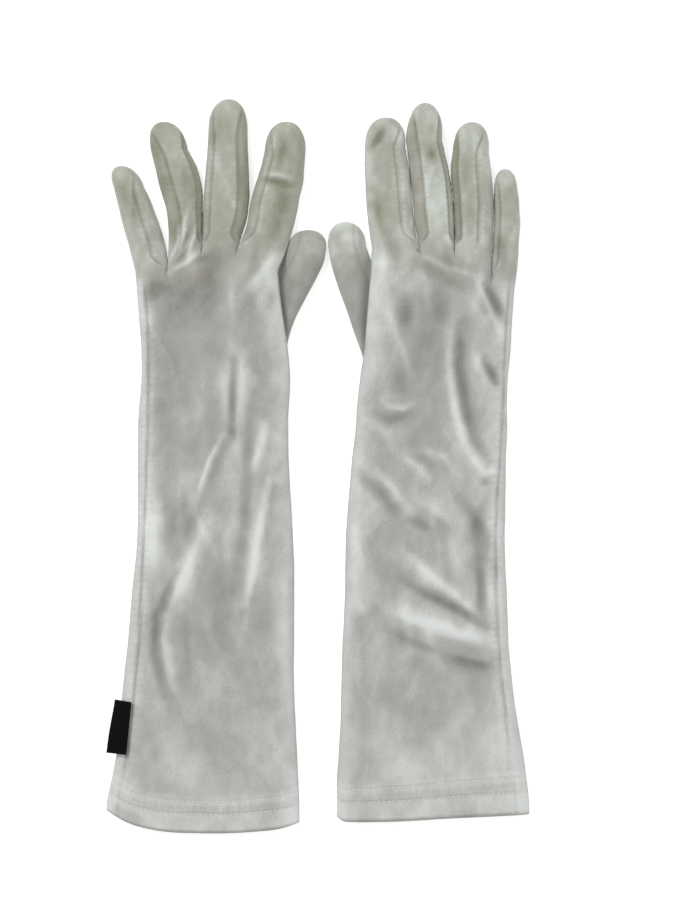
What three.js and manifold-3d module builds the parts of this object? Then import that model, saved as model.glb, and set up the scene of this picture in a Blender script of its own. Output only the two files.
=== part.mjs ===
// A pair of elbow-length velour opera gloves, lying side by side with the palms down.
// Millimetres. X runs from the left glove to the right one, Y from the cuffs to the fingertips, Z up.
// The origin is on the surface that the gloves lie on, in the middle of the pair.
//
// Each glove is cut as the real one is: a trank that is folded at the forefinger's side and sewn at the
// little finger's side, six fourchettes between the fingers, a set-in thumb and a turned, twin-sewn hem.
// The trank is split where it folds, at the wrist and at the roots of the fingers, so that it can move.

import * as THREE from "three";
import { mergeVertices } from "three/addons/utils/BufferGeometryUtils.js";
import Module from "manifold-3d";

const wasm = await Module();
wasm.setup();

// ---- Driving dimensions ----

const CLOTH = 1.2; // thickness of one layer of velour
const GAP = 0.3; // between two pieces that touch on the real glove
const SLEEVE_HEIGHT = 14; // of the tube as it lies, at its middle
const HAND_HEIGHT = 14;
const FINGER_HEIGHT = 12;
const THUMB_HEIGHT = 11;
const THUMB_ROOT_HEIGHT = 6.4; // where the hand lies on the thumb
const WRIST_Y = 25; // where the hand folds on the sleeve
const KNUCKLE_Y = 131.4; // where the first three fingers fold on the hand
const HEM_WALL = 2.4; // two layers
const HEM_HEIGHT = 21; // from the edge to the upper row of stitches and a little over
const SEAM_INSET = 7; // of the side seam from the glove's edge, seen from above
const FOURCHETTE_INSET = 5; // how far a fourchette reaches in from the finger's edge
const LABEL = { width: 12, length: 32, thickness: 0.9 };

const VELOUR = { color: 0xbfc0b8, roughness: 0.9, metalness: 0 };
const INSIDE_VELOUR = { color: 0xb2b3aa, roughness: 0.95, metalness: 0 };
const THREAD = { color: 0xd4d5cd, roughness: 0.6, metalness: 0 };
const WOVEN_TAB = { color: 0x0b0b0c, roughness: 0.7, metalness: 0 };

// ---- The two gloves' outlines ----
// A station is [y, left edge, right edge]. A tip is [x, y] of the end of the finger.

const LEFT = {
  side: "left",
  seamSide: -1, // the little finger's side is to the left
  littleY: 117.3,
  hem: { y: -219.5, tilt: -3.7, bow: 9.7 },
  sleeve: [
    [-196, -125.6, -11.2],
    [-176, -121.5, -12.4],
    [-140, -118.2, -13.5],
    [-104, -113.6, -14.1],
    [-56, -109.5, -14.7],
    [-20, -107.6, -16.2],
    [WRIST_Y, -107.4, -17.5],
  ],
  hand: [
    [WRIST_Y, -107.4, -17.5],
    [40, -107, -17.2],
    [58, -105.6, -17.3],
    [80, -106, -19.5],
    [99, -107.6, -21.6],
    [117.3, -109.8, -24.3],
  ],
  knuckles: [
    [110, -90, -23.4],
    [117.3, -89.6, -24.3],
    [125, -89.3, -20.6],
    [KNUCKLE_Y, -89.1, -18.6],
  ],
  fingers: {
    index: {
      stations: [
        [KNUCKLE_Y, -47.2, -18.6],
        [139, -43.9, -16.2],
        [150.6, -40.8, -13.2],
        [160, -39.8, -11.3],
        [173.4, -36.3, -8.7],
        [187.8, -32.3, -7.5],
      ],
      tip: [-19, 207.3],
      fourchettes: [-1],
    },
    middle: {
      stations: [
        [KNUCKLE_Y, -69.1, -49.6],
        [139, -69.3, -47.4],
        [150.6, -69.1, -43.8],
        [160, -68.6, -42.4],
        [184.2, -66.9, -41.7],
        [200, -66.1, -42.5],
      ],
      tip: [-53.6, 220.8],
      fourchettes: [-1, 1],
    },
    ring: {
      stations: [
        [KNUCKLE_Y, -89.1, -69.9],
        [144.6, -89.6, -69.8],
        [155.4, -91.4, -69.6],
        [168, -94.9, -69.6],
        [180.6, -98.2, -73],
        [191, -100.6, -78.4],
      ],
      tip: [-92.4, 207.3],
      fourchettes: [-1, 1],
    },
    little: {
      stations: [
        [117.3, -109.8, -90.9],
        [125, -111.8, -90.6],
        [133.8, -113.8, -92.1],
        [144.6, -117.2, -95.1],
        [155.4, -119.8, -98.8],
        [168, -122.6, -104.4],
      ],
      tip: [-118, 180.9],
      fourchettes: [1],
    },
  },
  thumb: {
    stations: [
      [58, -43, -25],
      [68, -45.5, -19.2],
      [76.2, -45.2, -17.9],
      [87, -42.4, -14.5],
      [101.4, -36.6, -7.3],
      [115.8, -29.3, 0.3],
      [123, -24.6, 3.5],
      [130, -19.4, 4.8],
    ],
    tip: [-5.6, 142.6],
    hingeX: -17.2,
    hole: { x: [-41, -28.5], y: [70, 106] },
  },
};

const RIGHT = {
  side: "right",
  seamSide: 1,
  littleY: 115.2,
  hem: { y: -213, tilt: 1.9, bow: 0.8 },
  sleeve: [
    [-192, 11.8, 126.2],
    [-176, 12.4, 123.7],
    [-140, 14.1, 117.9],
    [-104, 15.3, 114.4],
    [-56, 17.1, 112.6],
    [-20, 18.6, 112.5],
    [WRIST_Y, 22.8, 113.6],
  ],
  hand: [
    [WRIST_Y, 22.8, 113.6],
    [40, 24.4, 113.8],
    [58, 26.3, 114.6],
    [80, 29, 116.2],
    [99, 30.5, 118],
    [115.2, 32, 119.9],
  ],
  knuckles: [
    [108, 31.4, 104],
    [115.2, 32, 103.8],
    [123, 32.4, 103.8],
    [KNUCKLE_Y, 32.5, 103.8],
  ],
  fingers: {
    index: {
      stations: [
        [KNUCKLE_Y, 32.5, 60.3],
        [139, 31.2, 57.9],
        [150.6, 29.7, 56],
        [166.2, 28.5, 55],
        [180.6, 27.9, 54.3],
        [192, 28.1, 52.4],
      ],
      tip: [41, 210],
      fourchettes: [1],
    },
    middle: {
      stations: [
        [KNUCKLE_Y, 62.4, 81.4],
        [139, 60.6, 81.4],
        [150.6, 58.9, 81],
        [166.2, 57.2, 80],
        [180.6, 55.1, 78],
        [196, 53, 74.4],
      ],
      tip: [64.5, 218.7],
      fourchettes: [-1, 1],
    },
    ring: {
      stations: [
        [KNUCKLE_Y, 82.3, 103.8],
        [139, 82.2, 104.5],
        [150.6, 81.8, 105.2],
        [166.2, 80.8, 105],
        [180.6, 79.8, 103.6],
        [190, 81, 102.6],
      ],
      tip: [92.6, 207],
      fourchettes: [-1, 1],
    },
    little: {
      stations: [
        [115.2, 104.7, 119.9],
        [124, 104.9, 120.1],
        [133.8, 105.6, 120.4],
        [148, 106.2, 121.5],
        [158.4, 106.1, 121],
        [166.2, 106.2, 119.8],
      ],
      tip: [112.4, 179],
      fourchettes: [-1],
    },
  },
  thumb: {
    stations: [
      [50, 34, 50],
      [60, 28.4, 53],
      [68, 26.1, 53.6],
      [79.8, 21.9, 50.2],
      [94.2, 17.1, 44.8],
      [108.6, 11.8, 39.6],
      [123, 7.6, 32.6],
      [133, 6, 28.8],
    ],
    tip: [16.6, 147.4],
    hingeX: 26.9,
    hole: { x: [37, 49], y: [62, 98] },
  },
};

// ---- Lofted tubes ----

const UPPER_SHARE = 0.55; // how much of a lying tube's height is above its widest line
const ROUNDNESS = 0.8; // exponent of the section; 1 is an ellipse and less is boxier
const RESTING = 1.25; // over 1 the underside is flat where it rests

// Points round one section, from the left edge over the top to the right edge and back below.
function sectionPoints({ y, left, right, low, high, lift = () => 0 }, sides) {
  const centre = (left + right) / 2;
  const half = (right - left) / 2;
  const height = high - low;
  const waist = height * (1 - UPPER_SHARE);
  return Array.from({ length: sides }, (_, i) => {
    const angle = Math.PI - (2 * Math.PI * i) / sides;
    const across = Math.sign(Math.cos(angle)) * Math.abs(Math.cos(angle)) ** ROUNDNESS;
    const rise = Math.abs(Math.sin(angle)) ** ROUNDNESS;
    const above = Math.sin(angle) >= 0;
    const x = centre + half * (Math.abs(across) < 1e-9 ? 0 : across);
    const raised = lift(x, y);
    const z = above
      ? waist + height * UPPER_SHARE * rise
      : waist * (1 - Math.min(1, RESTING * rise));
    return new THREE.Vector3(x, typeof y === "function" ? y(across) : y, low + z + raised * (1 - z / (2 * height)));
  });
}

// A closed solid through a list of sections, with a flat fan at each end or a point at the tip.
function loft(sections, tip) {
  const sides = sections[0].length;
  const points = sections.flat();
  const faces = [];
  for (let row = 0; row < sections.length - 1; row++)
    for (let i = 0; i < sides; i++) {
      const a = row * sides + i;
      const b = row * sides + ((i + 1) % sides);
      faces.push([a, a + sides, b], [b, a + sides, b + sides]);
    }
  const cap = (firstIndex, apex, forward) => {
    points.push(apex);
    const centre = points.length - 1;
    for (let i = 0; i < sides; i++) {
      const a = firstIndex + i;
      const b = firstIndex + ((i + 1) % sides);
      faces.push(forward ? [a, centre, b] : [b, centre, a]);
    }
  };
  const middleOf = (section) => new THREE.Box3().setFromPoints(section).getCenter(new THREE.Vector3());
  cap(0, middleOf(sections[0]), false);
  cap((sections.length - 1) * sides, tip ?? middleOf(sections.at(-1)), true);
  return solid(points, faces);
}

// A closed ring through sections that go out along one side of a wall and come back along the other.
function ring(sections) {
  const sides = sections[0].length;
  const faces = [];
  for (let row = 0; row < sections.length; row++)
    for (let i = 0; i < sides; i++) {
      const next = (row + 1) % sections.length;
      const a = row * sides + i;
      const b = row * sides + ((i + 1) % sides);
      const c = next * sides + i;
      const d = next * sides + ((i + 1) % sides);
      faces.push([a, c, b], [b, c, d]);
    }
  return solid(sections.flat(), faces);
}

function solid(points, faces) {
  const made = new wasm.Manifold(
    new wasm.Mesh({
      numProp: 3,
      vertProperties: new Float32Array(points.flatMap((p) => [p.x, p.y, p.z])),
      triVerts: new Uint32Array(faces.flat()),
    }),
  );
  return made.volume() < 0 ? solid(points, faces.map(([a, b, c]) => [a, c, b])) : made;
}

// A three.js geometry as a solid that can be joined and cut.
function fromGeometry(geometry) {
  const bare = geometry.clone();
  bare.deleteAttribute("normal");
  bare.deleteAttribute("uv");
  const merged = mergeVertices(bare);
  return new wasm.Manifold(
    new wasm.Mesh({
      numProp: 3,
      vertProperties: new Float32Array(merged.attributes.position.array),
      triVerts: new Uint32Array(merged.index.array),
    }),
  );
}

function box(low, high) {
  const size = high.map((v, i) => v - low[i]);
  const middle = high.map((v, i) => (v + low[i]) / 2);
  return fromGeometry(new THREE.BoxGeometry(...size).translate(...middle));
}

// The rounded end of a finger: sections that narrow as a quarter ellipse does, up to the tip.
function tipStations(last, tip) {
  const [y, left, right] = last;
  return [0.42, 0.74, 0.93].map((share) => {
    const narrow = Math.sqrt(1 - share ** 2.4);
    const centre = THREE.MathUtils.lerp((left + right) / 2, tip[0], share);
    const half = ((right - left) / 2) * narrow;
    return { y: THREE.MathUtils.lerp(y, tip[1], share), left: centre - half, right: centre + half, narrow };
  });
}

// A finger as one solid, drawn in by inset on every side: 0 gives its outside, CLOTH its hollow.
function fingerVolume({ stations, tip }, height, sides, inset, open) {
  const body = stations.map(([y, left, right]) => ({ y, left, right, narrow: 1 }));
  const rounded = tipStations(stations.at(-1), [tip[0], tip[1] - inset]);
  const rows = [...body, ...rounded].map(({ y, left, right, narrow }) => ({
    y,
    left: left + inset,
    right: right - inset,
    low: inset + (1 - narrow) * height * 0.3,
    high: inset + (height - 2 * inset) * (0.3 + 0.7 * narrow),
  }));
  if (open) rows.unshift({ ...rows[0], y: rows[0].y - 1 });
  const apex = new THREE.Vector3(tip[0], tip[1] - inset, inset + (height - 2 * inset) * 0.36);
  return loft(rows.map((row) => sectionPoints(row, sides)), apex);
}

// A tube that is open at both ends, or drawn in as fingerVolume is.
function tubeVolume(stations, height, sides, inset, { past = 0, lift } = {}) {
  const rows = stations.map(([y, left, right]) => ({
    y,
    left: left + inset,
    right: right - inset,
    low: inset,
    high: height - inset,
    lift,
  }));
  if (past) {
    rows.unshift({ ...rows[0], y: rows[0].y - past });
    rows.push({ ...rows.at(-1), y: rows.at(-1).y + past });
  }
  return loft(rows.map((row) => sectionPoints(row, sides)));
}

// ---- Meshes ----

const pair = new THREE.Group();

function addMesh(name, manifold, look) {
  const made = manifold.getMesh();
  const positions = new Float32Array(made.numVert * 3);
  for (let i = 0; i < made.numVert; i++)
    positions.set(made.vertProperties.subarray(i * made.numProp, i * made.numProp + 3), i * 3);
  const geometry = new THREE.BufferGeometry();
  geometry.setAttribute("position", new THREE.BufferAttribute(positions, 3));
  geometry.setIndex(new THREE.BufferAttribute(new Uint32Array(made.triVerts), 1));
  const mesh = new THREE.Mesh(geometry, new THREE.MeshStandardMaterial(look));
  mesh.name = name;
  pair.add(mesh);
}

// ---- Fingers and fourchettes ----

const FINGER_SIDES = 16;
const FOURCHETTE_STOP = 12; // a fourchette ends this far short of the fingertip

// The space along one edge of a finger that its fourchette fills, grown by a margin.
function edgeStrip({ stations, tip }, edge, margin) {
  const [lastY, left, right] = stations.at(-1);
  const stop = tip[1] - FOURCHETTE_STOP + margin;
  const rows = stations.map(([y, a, b], i) => [i ? y : y - 3, edge < 0 ? a : b]);
  rows.push([tip[1], THREE.MathUtils.lerp(edge < 0 ? left : right, tip[0], 0.3)]);
  const inset = FOURCHETTE_INSET + margin;
  const sections = rows.map(([y, x]) => {
    const [a, b] = edge < 0 ? [x - 4, x + inset] : [x - inset, x + 4];
    return [
      new THREE.Vector3(a, y, -1),
      new THREE.Vector3(b, y, -1),
      new THREE.Vector3(b, y, FINGER_HEIGHT + 1),
      new THREE.Vector3(a, y, FINGER_HEIGHT + 1),
    ];
  });
  return loft(sections).intersect(box([-200, 0, -5], [200, Math.max(stop, lastY - 20), 40]));
}

function addFinger(glove, name, finger) {
  const started = { ...finger, stations: finger.stations.map((s, i) => (i ? s : [s[0] + GAP, s[1], s[2]])) };
  const outside = fingerVolume(started, FINGER_HEIGHT, FINGER_SIDES, 0, false);
  const hollow = fingerVolume(started, FINGER_HEIGHT, FINGER_SIDES, CLOTH, true);
  const tube = outside.subtract(hollow);
  let panels = tube;
  for (const edge of finger.fourchettes) {
    panels = panels.subtract(edgeStrip(started, edge, GAP));
    const way = edge < 0 ? "left" : "right";
    addMesh(
      `${glove.side}_${name}_fourchette_${way}`,
      tube.intersect(edgeStrip(started, edge, 0)),
      VELOUR,
    );
  }
  addMesh(`${glove.side}_${name}_finger`, panels, VELOUR);
}

// ---- Thumb ----

const THUMB_SIDES = 16;

// The thumb's whole volume at a height, grown by a margin on every side.
function thumbVolume(thumb, height, margin) {
  const stations = thumb.stations.map(([y, left, right], i) => [i ? y : y - margin, left, right]);
  return fingerVolume({ stations, tip: thumb.tip }, height, THUMB_SIDES, -margin, false);
}

// Everything to one side of the plane at x, on the thumb's free side or on the hand's side.
function halfSpace(glove, x, free) {
  const outward = -glove.seamSide * (free ? 1 : -1);
  return outward > 0 ? box([x, 0, -5], [x + 200, 200, 40]) : box([x - 200, 0, -5], [x, 200, 40]);
}

function thumbPassage({ hole }) {
  return box([hole.x[0], hole.y[0], 3], [hole.x[1], hole.y[1], 10.5]);
}

function addThumb(glove) {
  const { thumb } = glove;
  const away = -glove.seamSide * (GAP / 2);
  const shell = (height) => thumbVolume(thumb, height, 0).subtract(thumbVolume(thumb, height, -CLOTH));
  const free = shell(THUMB_HEIGHT).intersect(halfSpace(glove, thumb.hingeX + away, true));
  const root = shell(THUMB_ROOT_HEIGHT)
    .intersect(halfSpace(glove, thumb.hingeX - away, false))
    .subtract(thumbPassage(thumb));
  addMesh(`${glove.side}_thumb`, free, VELOUR);
  addMesh(`${glove.side}_thumb_root`, root, VELOUR);
}

// ---- Hand ----

const HAND_SIDES = 24;

// How far the hand is raised at a point by the thumb that lies under its forefinger side.
function handLift(glove) {
  const inward = glove.seamSide;
  const full = THUMB_ROOT_HEIGHT + GAP;
  const ramp = THREE.MathUtils.smoothstep;
  const from = glove.thumb.hingeX + inward * 44;
  const over = glove.thumb.hingeX + inward * 26;
  return (x, y) => {
    const along = ramp(y, 30, 56) * (1 - ramp(y, 122, KNUCKLE_Y));
    const across = inward < 0 ? ramp(x, from, over) : 1 - ramp(x, over, from);
    return full * along * across;
  };
}

function handVolume(glove, inset, past) {
  const lift = handLift(glove);
  const palm = tubeVolume(glove.hand, HAND_HEIGHT, HAND_SIDES, inset, { lift });
  const knuckles = tubeVolume(glove.knuckles, FINGER_HEIGHT + 1, HAND_SIDES, inset, { lift });
  const joined = palm.add(knuckles);
  if (!past) return joined;
  const [firstY, left, right] = glove.hand[0];
  const wristWay = tubeVolume(
    [[firstY - past, left, right], [firstY + past, left, right]],
    HAND_HEIGHT,
    HAND_SIDES,
    inset,
  );
  const [lastY, from, to] = glove.knuckles.at(-1);
  const knuckleWay = tubeVolume(
    [[lastY - past, from, to], [lastY + past, from, to]],
    FINGER_HEIGHT,
    HAND_SIDES,
    inset,
  );
  const [littleY, littleLeft, littleRight] = glove.fingers.little.stations[0];
  const littleWay = tubeVolume(
    [[littleY - 3, littleLeft, littleRight], [littleY + past, littleLeft, littleRight]],
    FINGER_HEIGHT,
    FINGER_SIDES,
    inset,
  );
  return joined.add(wristWay).add(knuckleWay).add(littleWay);
}

function addHand(glove) {
  const { thumb } = glove;
  const rootOf = (margin) =>
    thumbVolume(thumb, THUMB_ROOT_HEIGHT, margin).intersect(
      halfSpace(glove, thumb.hingeX + glove.seamSide * -8, false),
    );
  const hollow = handVolume(glove, CLOTH, 2).subtract(rootOf(GAP + CLOTH));
  const trimmed = box([-200, WRIST_Y + GAP / 2, -5], [200, KNUCKLE_Y, 40]);
  const hand = handVolume(glove, 0, 0)
    .subtract(rootOf(GAP))
    .subtract(hollow)
    .subtract(thumbPassage(thumb))
    .intersect(trimmed);
  const largest = hand.decompose().sort((a, b) => b.volume() - a.volume())[0];
  addMesh(`${glove.side}_hand`, largest, VELOUR);
}

// ---- Sleeve, hem and stitches ----

const SLEEVE_SIDES = 24;
const STITCH_ROWS = { upper: 19.5, lower: 12 }; // heights above the hem's edge
const THREAD_WIDTH = 0.9;
const THREAD_DEPTH = 0.6;

// The outline at a height above the hem's edge, where the cuff hangs in a shallow curve.
function cuffStation(glove, above) {
  const { y, tilt, bow } = glove.hem;
  const [, left, right] = glove.sleeve[0];
  const flare = (HEM_HEIGHT - above) / HEM_HEIGHT;
  return {
    y: (across) => y + above + tilt * across + bow * across * across,
    left: left - 0.9 * flare,
    right: right + 0.5 * flare,
  };
}

function cuffSection(glove, above, inset) {
  const { y, left, right } = cuffStation(glove, above);
  const row = { y, left: left + inset, right: right - inset, low: inset, high: SLEEVE_HEIGHT - inset };
  return sectionPoints(row, SLEEVE_SIDES);
}

function addHem(glove) {
  const groove = THREAD_DEPTH + GAP;
  const half = THREAD_WIDTH / 2 + GAP;
  const outline = [[0, 0.6], [1, 0]];
  for (const above of [STITCH_ROWS.lower, STITCH_ROWS.upper])
    outline.push([above - half, 0], [above - half, groove], [above + half, groove], [above + half, 0]);
  outline.push([HEM_HEIGHT, 0], [HEM_HEIGHT, HEM_WALL], [0, HEM_WALL]);
  const around = (wall) => ring(wall.map(([above, inset]) => cuffSection(glove, above, inset)));
  addMesh(`${glove.side}_hem`, around(outline), VELOUR);
  for (const [row, above] of Object.entries(STITCH_ROWS)) {
    const [low, high] = [above - THREAD_WIDTH / 2, above + THREAD_WIDTH / 2];
    const thread = [[low, 0], [high, 0], [high, THREAD_DEPTH], [low, THREAD_DEPTH]];
    addMesh(`${glove.side}_hem_stitches_${row}`, around(thread), THREAD);
  }
}

function sleeveSections(glove, inset) {
  const first = cuffSection(glove, HEM_HEIGHT + GAP, inset);
  const rest = glove.sleeve.slice(1).map(([y, left, right]) =>
    sectionPoints(
      {
        y: y === WRIST_Y ? y - GAP / 2 : y,
        left: left + inset,
        right: right - inset,
        low: inset,
        high: SLEEVE_HEIGHT - inset,
      },
      SLEEVE_SIDES,
    ),
  );
  return [first, ...rest];
}

function addSleeve(glove) {
  const walls = [...sleeveSections(glove, 0), ...sleeveSections(glove, CLOTH).reverse()];
  addMesh(`${glove.side}_sleeve`, ring(walls), VELOUR);
}

// ---- Side seam ----

// Height of a faceted section's upper side at x.
function topAt(section, x) {
  const upper = section.slice(0, section.length / 2 + 1);
  const i = Math.max(1, upper.findIndex((p) => p.x >= x));
  const [a, b] = [upper[i - 1], upper[i]];
  return THREE.MathUtils.mapLinear(x, a.x, b.x, a.z, b.z);
}

function topY(section, x) {
  const upper = section.slice(0, section.length / 2 + 1);
  const i = Math.max(1, upper.findIndex((p) => p.x >= x));
  return THREE.MathUtils.mapLinear(x, upper[i - 1].x, upper[i].x, upper[i - 1].y, upper[i].y);
}

// A cord of thread that lies on the upper side of some sections, at an inset from their outer edge.
function seamOver(sections, seamSide, inset) {
  const rows = sections.map((section) => {
    const edge = seamSide < 0 ? section[0] : section[section.length / 2];
    const x = edge.x - seamSide * inset;
    return { x, y: topY(section, x), z: topAt(section, x) + GAP };
  });
  return loft(
    rows.map(({ x, y, z }) => [
      new THREE.Vector3(x - THREAD_WIDTH / 2, y, z),
      new THREE.Vector3(x + THREAD_WIDTH / 2, y, z),
      new THREE.Vector3(x + THREAD_WIDTH / 2, y, z + THREAD_DEPTH),
      new THREE.Vector3(x - THREAD_WIDTH / 2, y, z + THREAD_DEPTH),
    ]),
  );
}

function addSideSeam(glove) {
  const lift = handLift(glove);
  const rows = (stations, height, sides) =>
    stations.map(([y, left, right]) => sectionPoints({ y, left, right, low: 0, high: height, lift }, sides));
  const hand = glove.hand.map(([y, ...edges], i) => [i ? y - (y === glove.littleY ? 1 : 0) : y + 1, ...edges]);
  const little = glove.fingers.little.stations.map(([y, ...edges], i) => [i ? y : y + 1, ...edges]);
  addMesh(`${glove.side}_sleeve_seam`, seamOver(sleeveSections(glove, 0), glove.seamSide, SEAM_INSET), THREAD);
  addMesh(`${glove.side}_hand_seam`, seamOver(rows(hand, HAND_HEIGHT, HAND_SIDES), glove.seamSide, SEAM_INSET), THREAD);
  addMesh(
    `${glove.side}_little_finger_seam`,
    seamOver(rows(little, FINGER_HEIGHT, FINGER_SIDES), glove.seamSide, SEAM_INSET / 2),
    THREAD,
  );
}

// ---- Label ----

const LABEL_ROOT = { x: -113.9, y: -156, z: 12.7 }; // middle of the edge that is caught in the side seam
const LABEL_TURN = THREE.MathUtils.degToRad(-5.5); // the seam leans this much from the Y axis
const LABEL_DROOP = THREE.MathUtils.degToRad(-17);

function addLabel() {
  const tab = new THREE.BoxGeometry(LABEL.width, LABEL.length, LABEL.thickness)
    .translate(-LABEL.width / 2, 0, 0)
    .rotateY(LABEL_DROOP)
    .rotateZ(LABEL_TURN)
    .translate(LABEL_ROOT.x, LABEL_ROOT.y, LABEL_ROOT.z);
  addMesh("left_label", fromGeometry(tab), WOVEN_TAB);
}

// ---- The pair ----

for (const glove of [LEFT, RIGHT]) {
  addSleeve(glove);
  addHem(glove);
  addHand(glove);
  addThumb(glove);
  for (const [name, finger] of Object.entries(glove.fingers)) addFinger(glove, name, finger);
  addSideSeam(glove);
}
addLabel();

export default pair;
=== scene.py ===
"""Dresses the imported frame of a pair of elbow-length velour opera gloves.

The gloves lie side by side with their palms down. Each one is a trank of stretch velour with a side
seam, four finger panels, six fourchettes, a set-in thumb and a turned hem with two rows of stitches.
Every surface is worked out in millimetres in the frame's axes and is put into metres when it is woven.
"""

import logging
import math
from dataclasses import dataclass
from enum import Enum
from typing import Callable, Iterable, Optional, Sequence

import bmesh
import bpy
import numpy as np
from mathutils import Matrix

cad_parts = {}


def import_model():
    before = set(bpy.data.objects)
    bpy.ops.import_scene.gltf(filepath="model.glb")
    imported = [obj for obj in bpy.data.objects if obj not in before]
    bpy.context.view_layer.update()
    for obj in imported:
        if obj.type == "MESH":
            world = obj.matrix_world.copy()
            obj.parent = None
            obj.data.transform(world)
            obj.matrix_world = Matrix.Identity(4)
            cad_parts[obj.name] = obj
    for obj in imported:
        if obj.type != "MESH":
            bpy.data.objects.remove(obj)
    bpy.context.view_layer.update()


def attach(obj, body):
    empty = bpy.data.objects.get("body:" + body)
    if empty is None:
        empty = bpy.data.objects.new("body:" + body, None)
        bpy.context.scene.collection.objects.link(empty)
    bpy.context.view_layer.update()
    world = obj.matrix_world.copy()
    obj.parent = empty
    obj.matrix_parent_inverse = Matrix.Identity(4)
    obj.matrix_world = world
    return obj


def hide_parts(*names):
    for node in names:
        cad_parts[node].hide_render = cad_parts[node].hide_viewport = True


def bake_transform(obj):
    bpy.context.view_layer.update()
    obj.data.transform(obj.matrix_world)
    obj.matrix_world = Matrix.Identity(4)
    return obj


Array = np.ndarray
Table = Sequence[Sequence[float]]
MM = 0.001
HANDLED = (96.0, 160.0)  # along Y: where the cloth starts to be warmer from handling, and is so fully
MERGE = 2e-6  # metres
LOG = logging.getLogger("opera_gloves")


class Edge(Enum):
    """The two long sides of a finger or a glove, seen from above."""

    LEFT = "left"
    RIGHT = "right"


# ---- Shape helpers ----


def ease(value: Array, start: float, end: float) -> Array:
    """Smooth step: 0 before start, 1 after end, 3t^2 - 2t^3 between."""
    t = np.clip((np.asarray(value, float) - start) / (end - start), 0.0, 1.0)
    return t * t * (3.0 - 2.0 * t)


def curve(at: Array, table: Table) -> Array:
    """Smooth curve through measured points.

    Cubic Hermite pieces, with the slope at each point taken through its two neighbours.

    Args:
        at: Places to read the curve at.
        table: Rows of (place, value), in rising order of place.

    Returns:
        The value at each place, held level past both ends.
    """
    place, value = np.array(table, float).T
    slope = np.gradient(value, place)
    i = np.clip(np.searchsorted(place, at, side="right") - 1, 0, len(place) - 2)
    span = place[i + 1] - place[i]
    t = np.clip((np.asarray(at, float) - place[i]) / span, 0.0, 1.0)
    rest = 1.0 - t
    ends = value[i] * (1 + 2 * t) * rest**2 + value[i + 1] * (3 - 2 * t) * t**2
    return ends + span * (slope[i] * t * rest**2 - slope[i + 1] * rest * t**2)


def ripple(x: Array, y: Array, size: tuple[float, float], seed: float) -> Array:
    """Soft random hills and hollows.

    Random heights on a lattice, joined by smooth steps along both axes.

    Args:
        x: Places across.
        y: Places along.
        size: Lattice spacing across and along.
        seed: Chooses the pattern.

    Returns:
        Heights from -1 to 1.
    """
    u, v = np.asarray(x, float) / size[0] + 57.3, np.asarray(y, float) / size[1] + 91.7
    i, j = np.floor(u), np.floor(v)
    s, t = ease(u - i, 0, 1), ease(v - j, 0, 1)

    def height(p: Array, q: Array) -> Array:
        """Repeatable random height of one lattice point."""
        return 2.0 * np.modf(np.abs(np.sin(p * 127.1 + q * 311.7 + seed * 74.7) * 43758.5453))[0] - 1.0

    low = height(i, j) * (1 - s) + height(i + 1, j) * s
    high = height(i, j + 1) * (1 - s) + height(i + 1, j + 1) * s
    return low * (1 - t) + high * t


@dataclass(frozen=True)
class Fold:
    """A ridge or, with a negative height, a valley in the lying cloth."""

    path: Table
    height: float
    width: float
    lean: float = 0.0
    # tone: how strongly the height is painted into the colour, as painted light on a ridge and painted shade
    # in a valley
    tone: float = 1.0

    def shape(self, x: Array, y: Array) -> Array:
        """Rise of the fold over each point.

        A bell across the path, exp(-(d/width)^2), that is steeper on one side by lean and fades over
        the first and last part of the path's length.

        Args:
            x: Places across.
            y: Places along.

        Returns:
            A share of the fold's height, from 0 to 1.
        """
        points = np.array(self.path, float)
        legs = np.diff(points, axis=0)
        lengths = np.hypot(*legs.T)
        before = np.concatenate([[0.0], np.cumsum(lengths)])
        nearest, signed, run = np.full(x.shape, 1e9), np.zeros(x.shape), np.zeros(x.shape)
        for start, leg, length, passed in zip(points, legs, lengths, before):
            dx, dy = x - start[0], y - start[1]
            t = np.clip((dx * leg[0] + dy * leg[1]) / length**2, 0.0, 1.0)
            gap = np.hypot(dx - t * leg[0], dy - t * leg[1])
            closer = gap < nearest
            nearest = np.where(closer, gap, nearest)
            signed = np.where(closer, leg[0] * dy - leg[1] * dx, signed)
            run = np.where(closer, (passed + t * length) / before[-1], run)
        reach = self.width * (1.0 + self.lean * np.sign(signed))
        fade = np.sqrt(np.clip(np.sin(np.pi * np.clip(run, 0.04, 0.96)), 0.0, 1.0))
        return bell(nearest, reach) * fade


def bell(distance: Array, width: Array) -> Array:
    """exp(-(distance/width)^2): 1 at no distance, and near 0 past twice the width."""
    return np.exp(-((distance / width) ** 2))


def unit(vectors: Array) -> Array:
    """The vectors brought to length 1."""
    return vectors / np.maximum(np.linalg.norm(vectors, axis=1, keepdims=True), 1e-9)


# ---- Meshes ----


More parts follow.
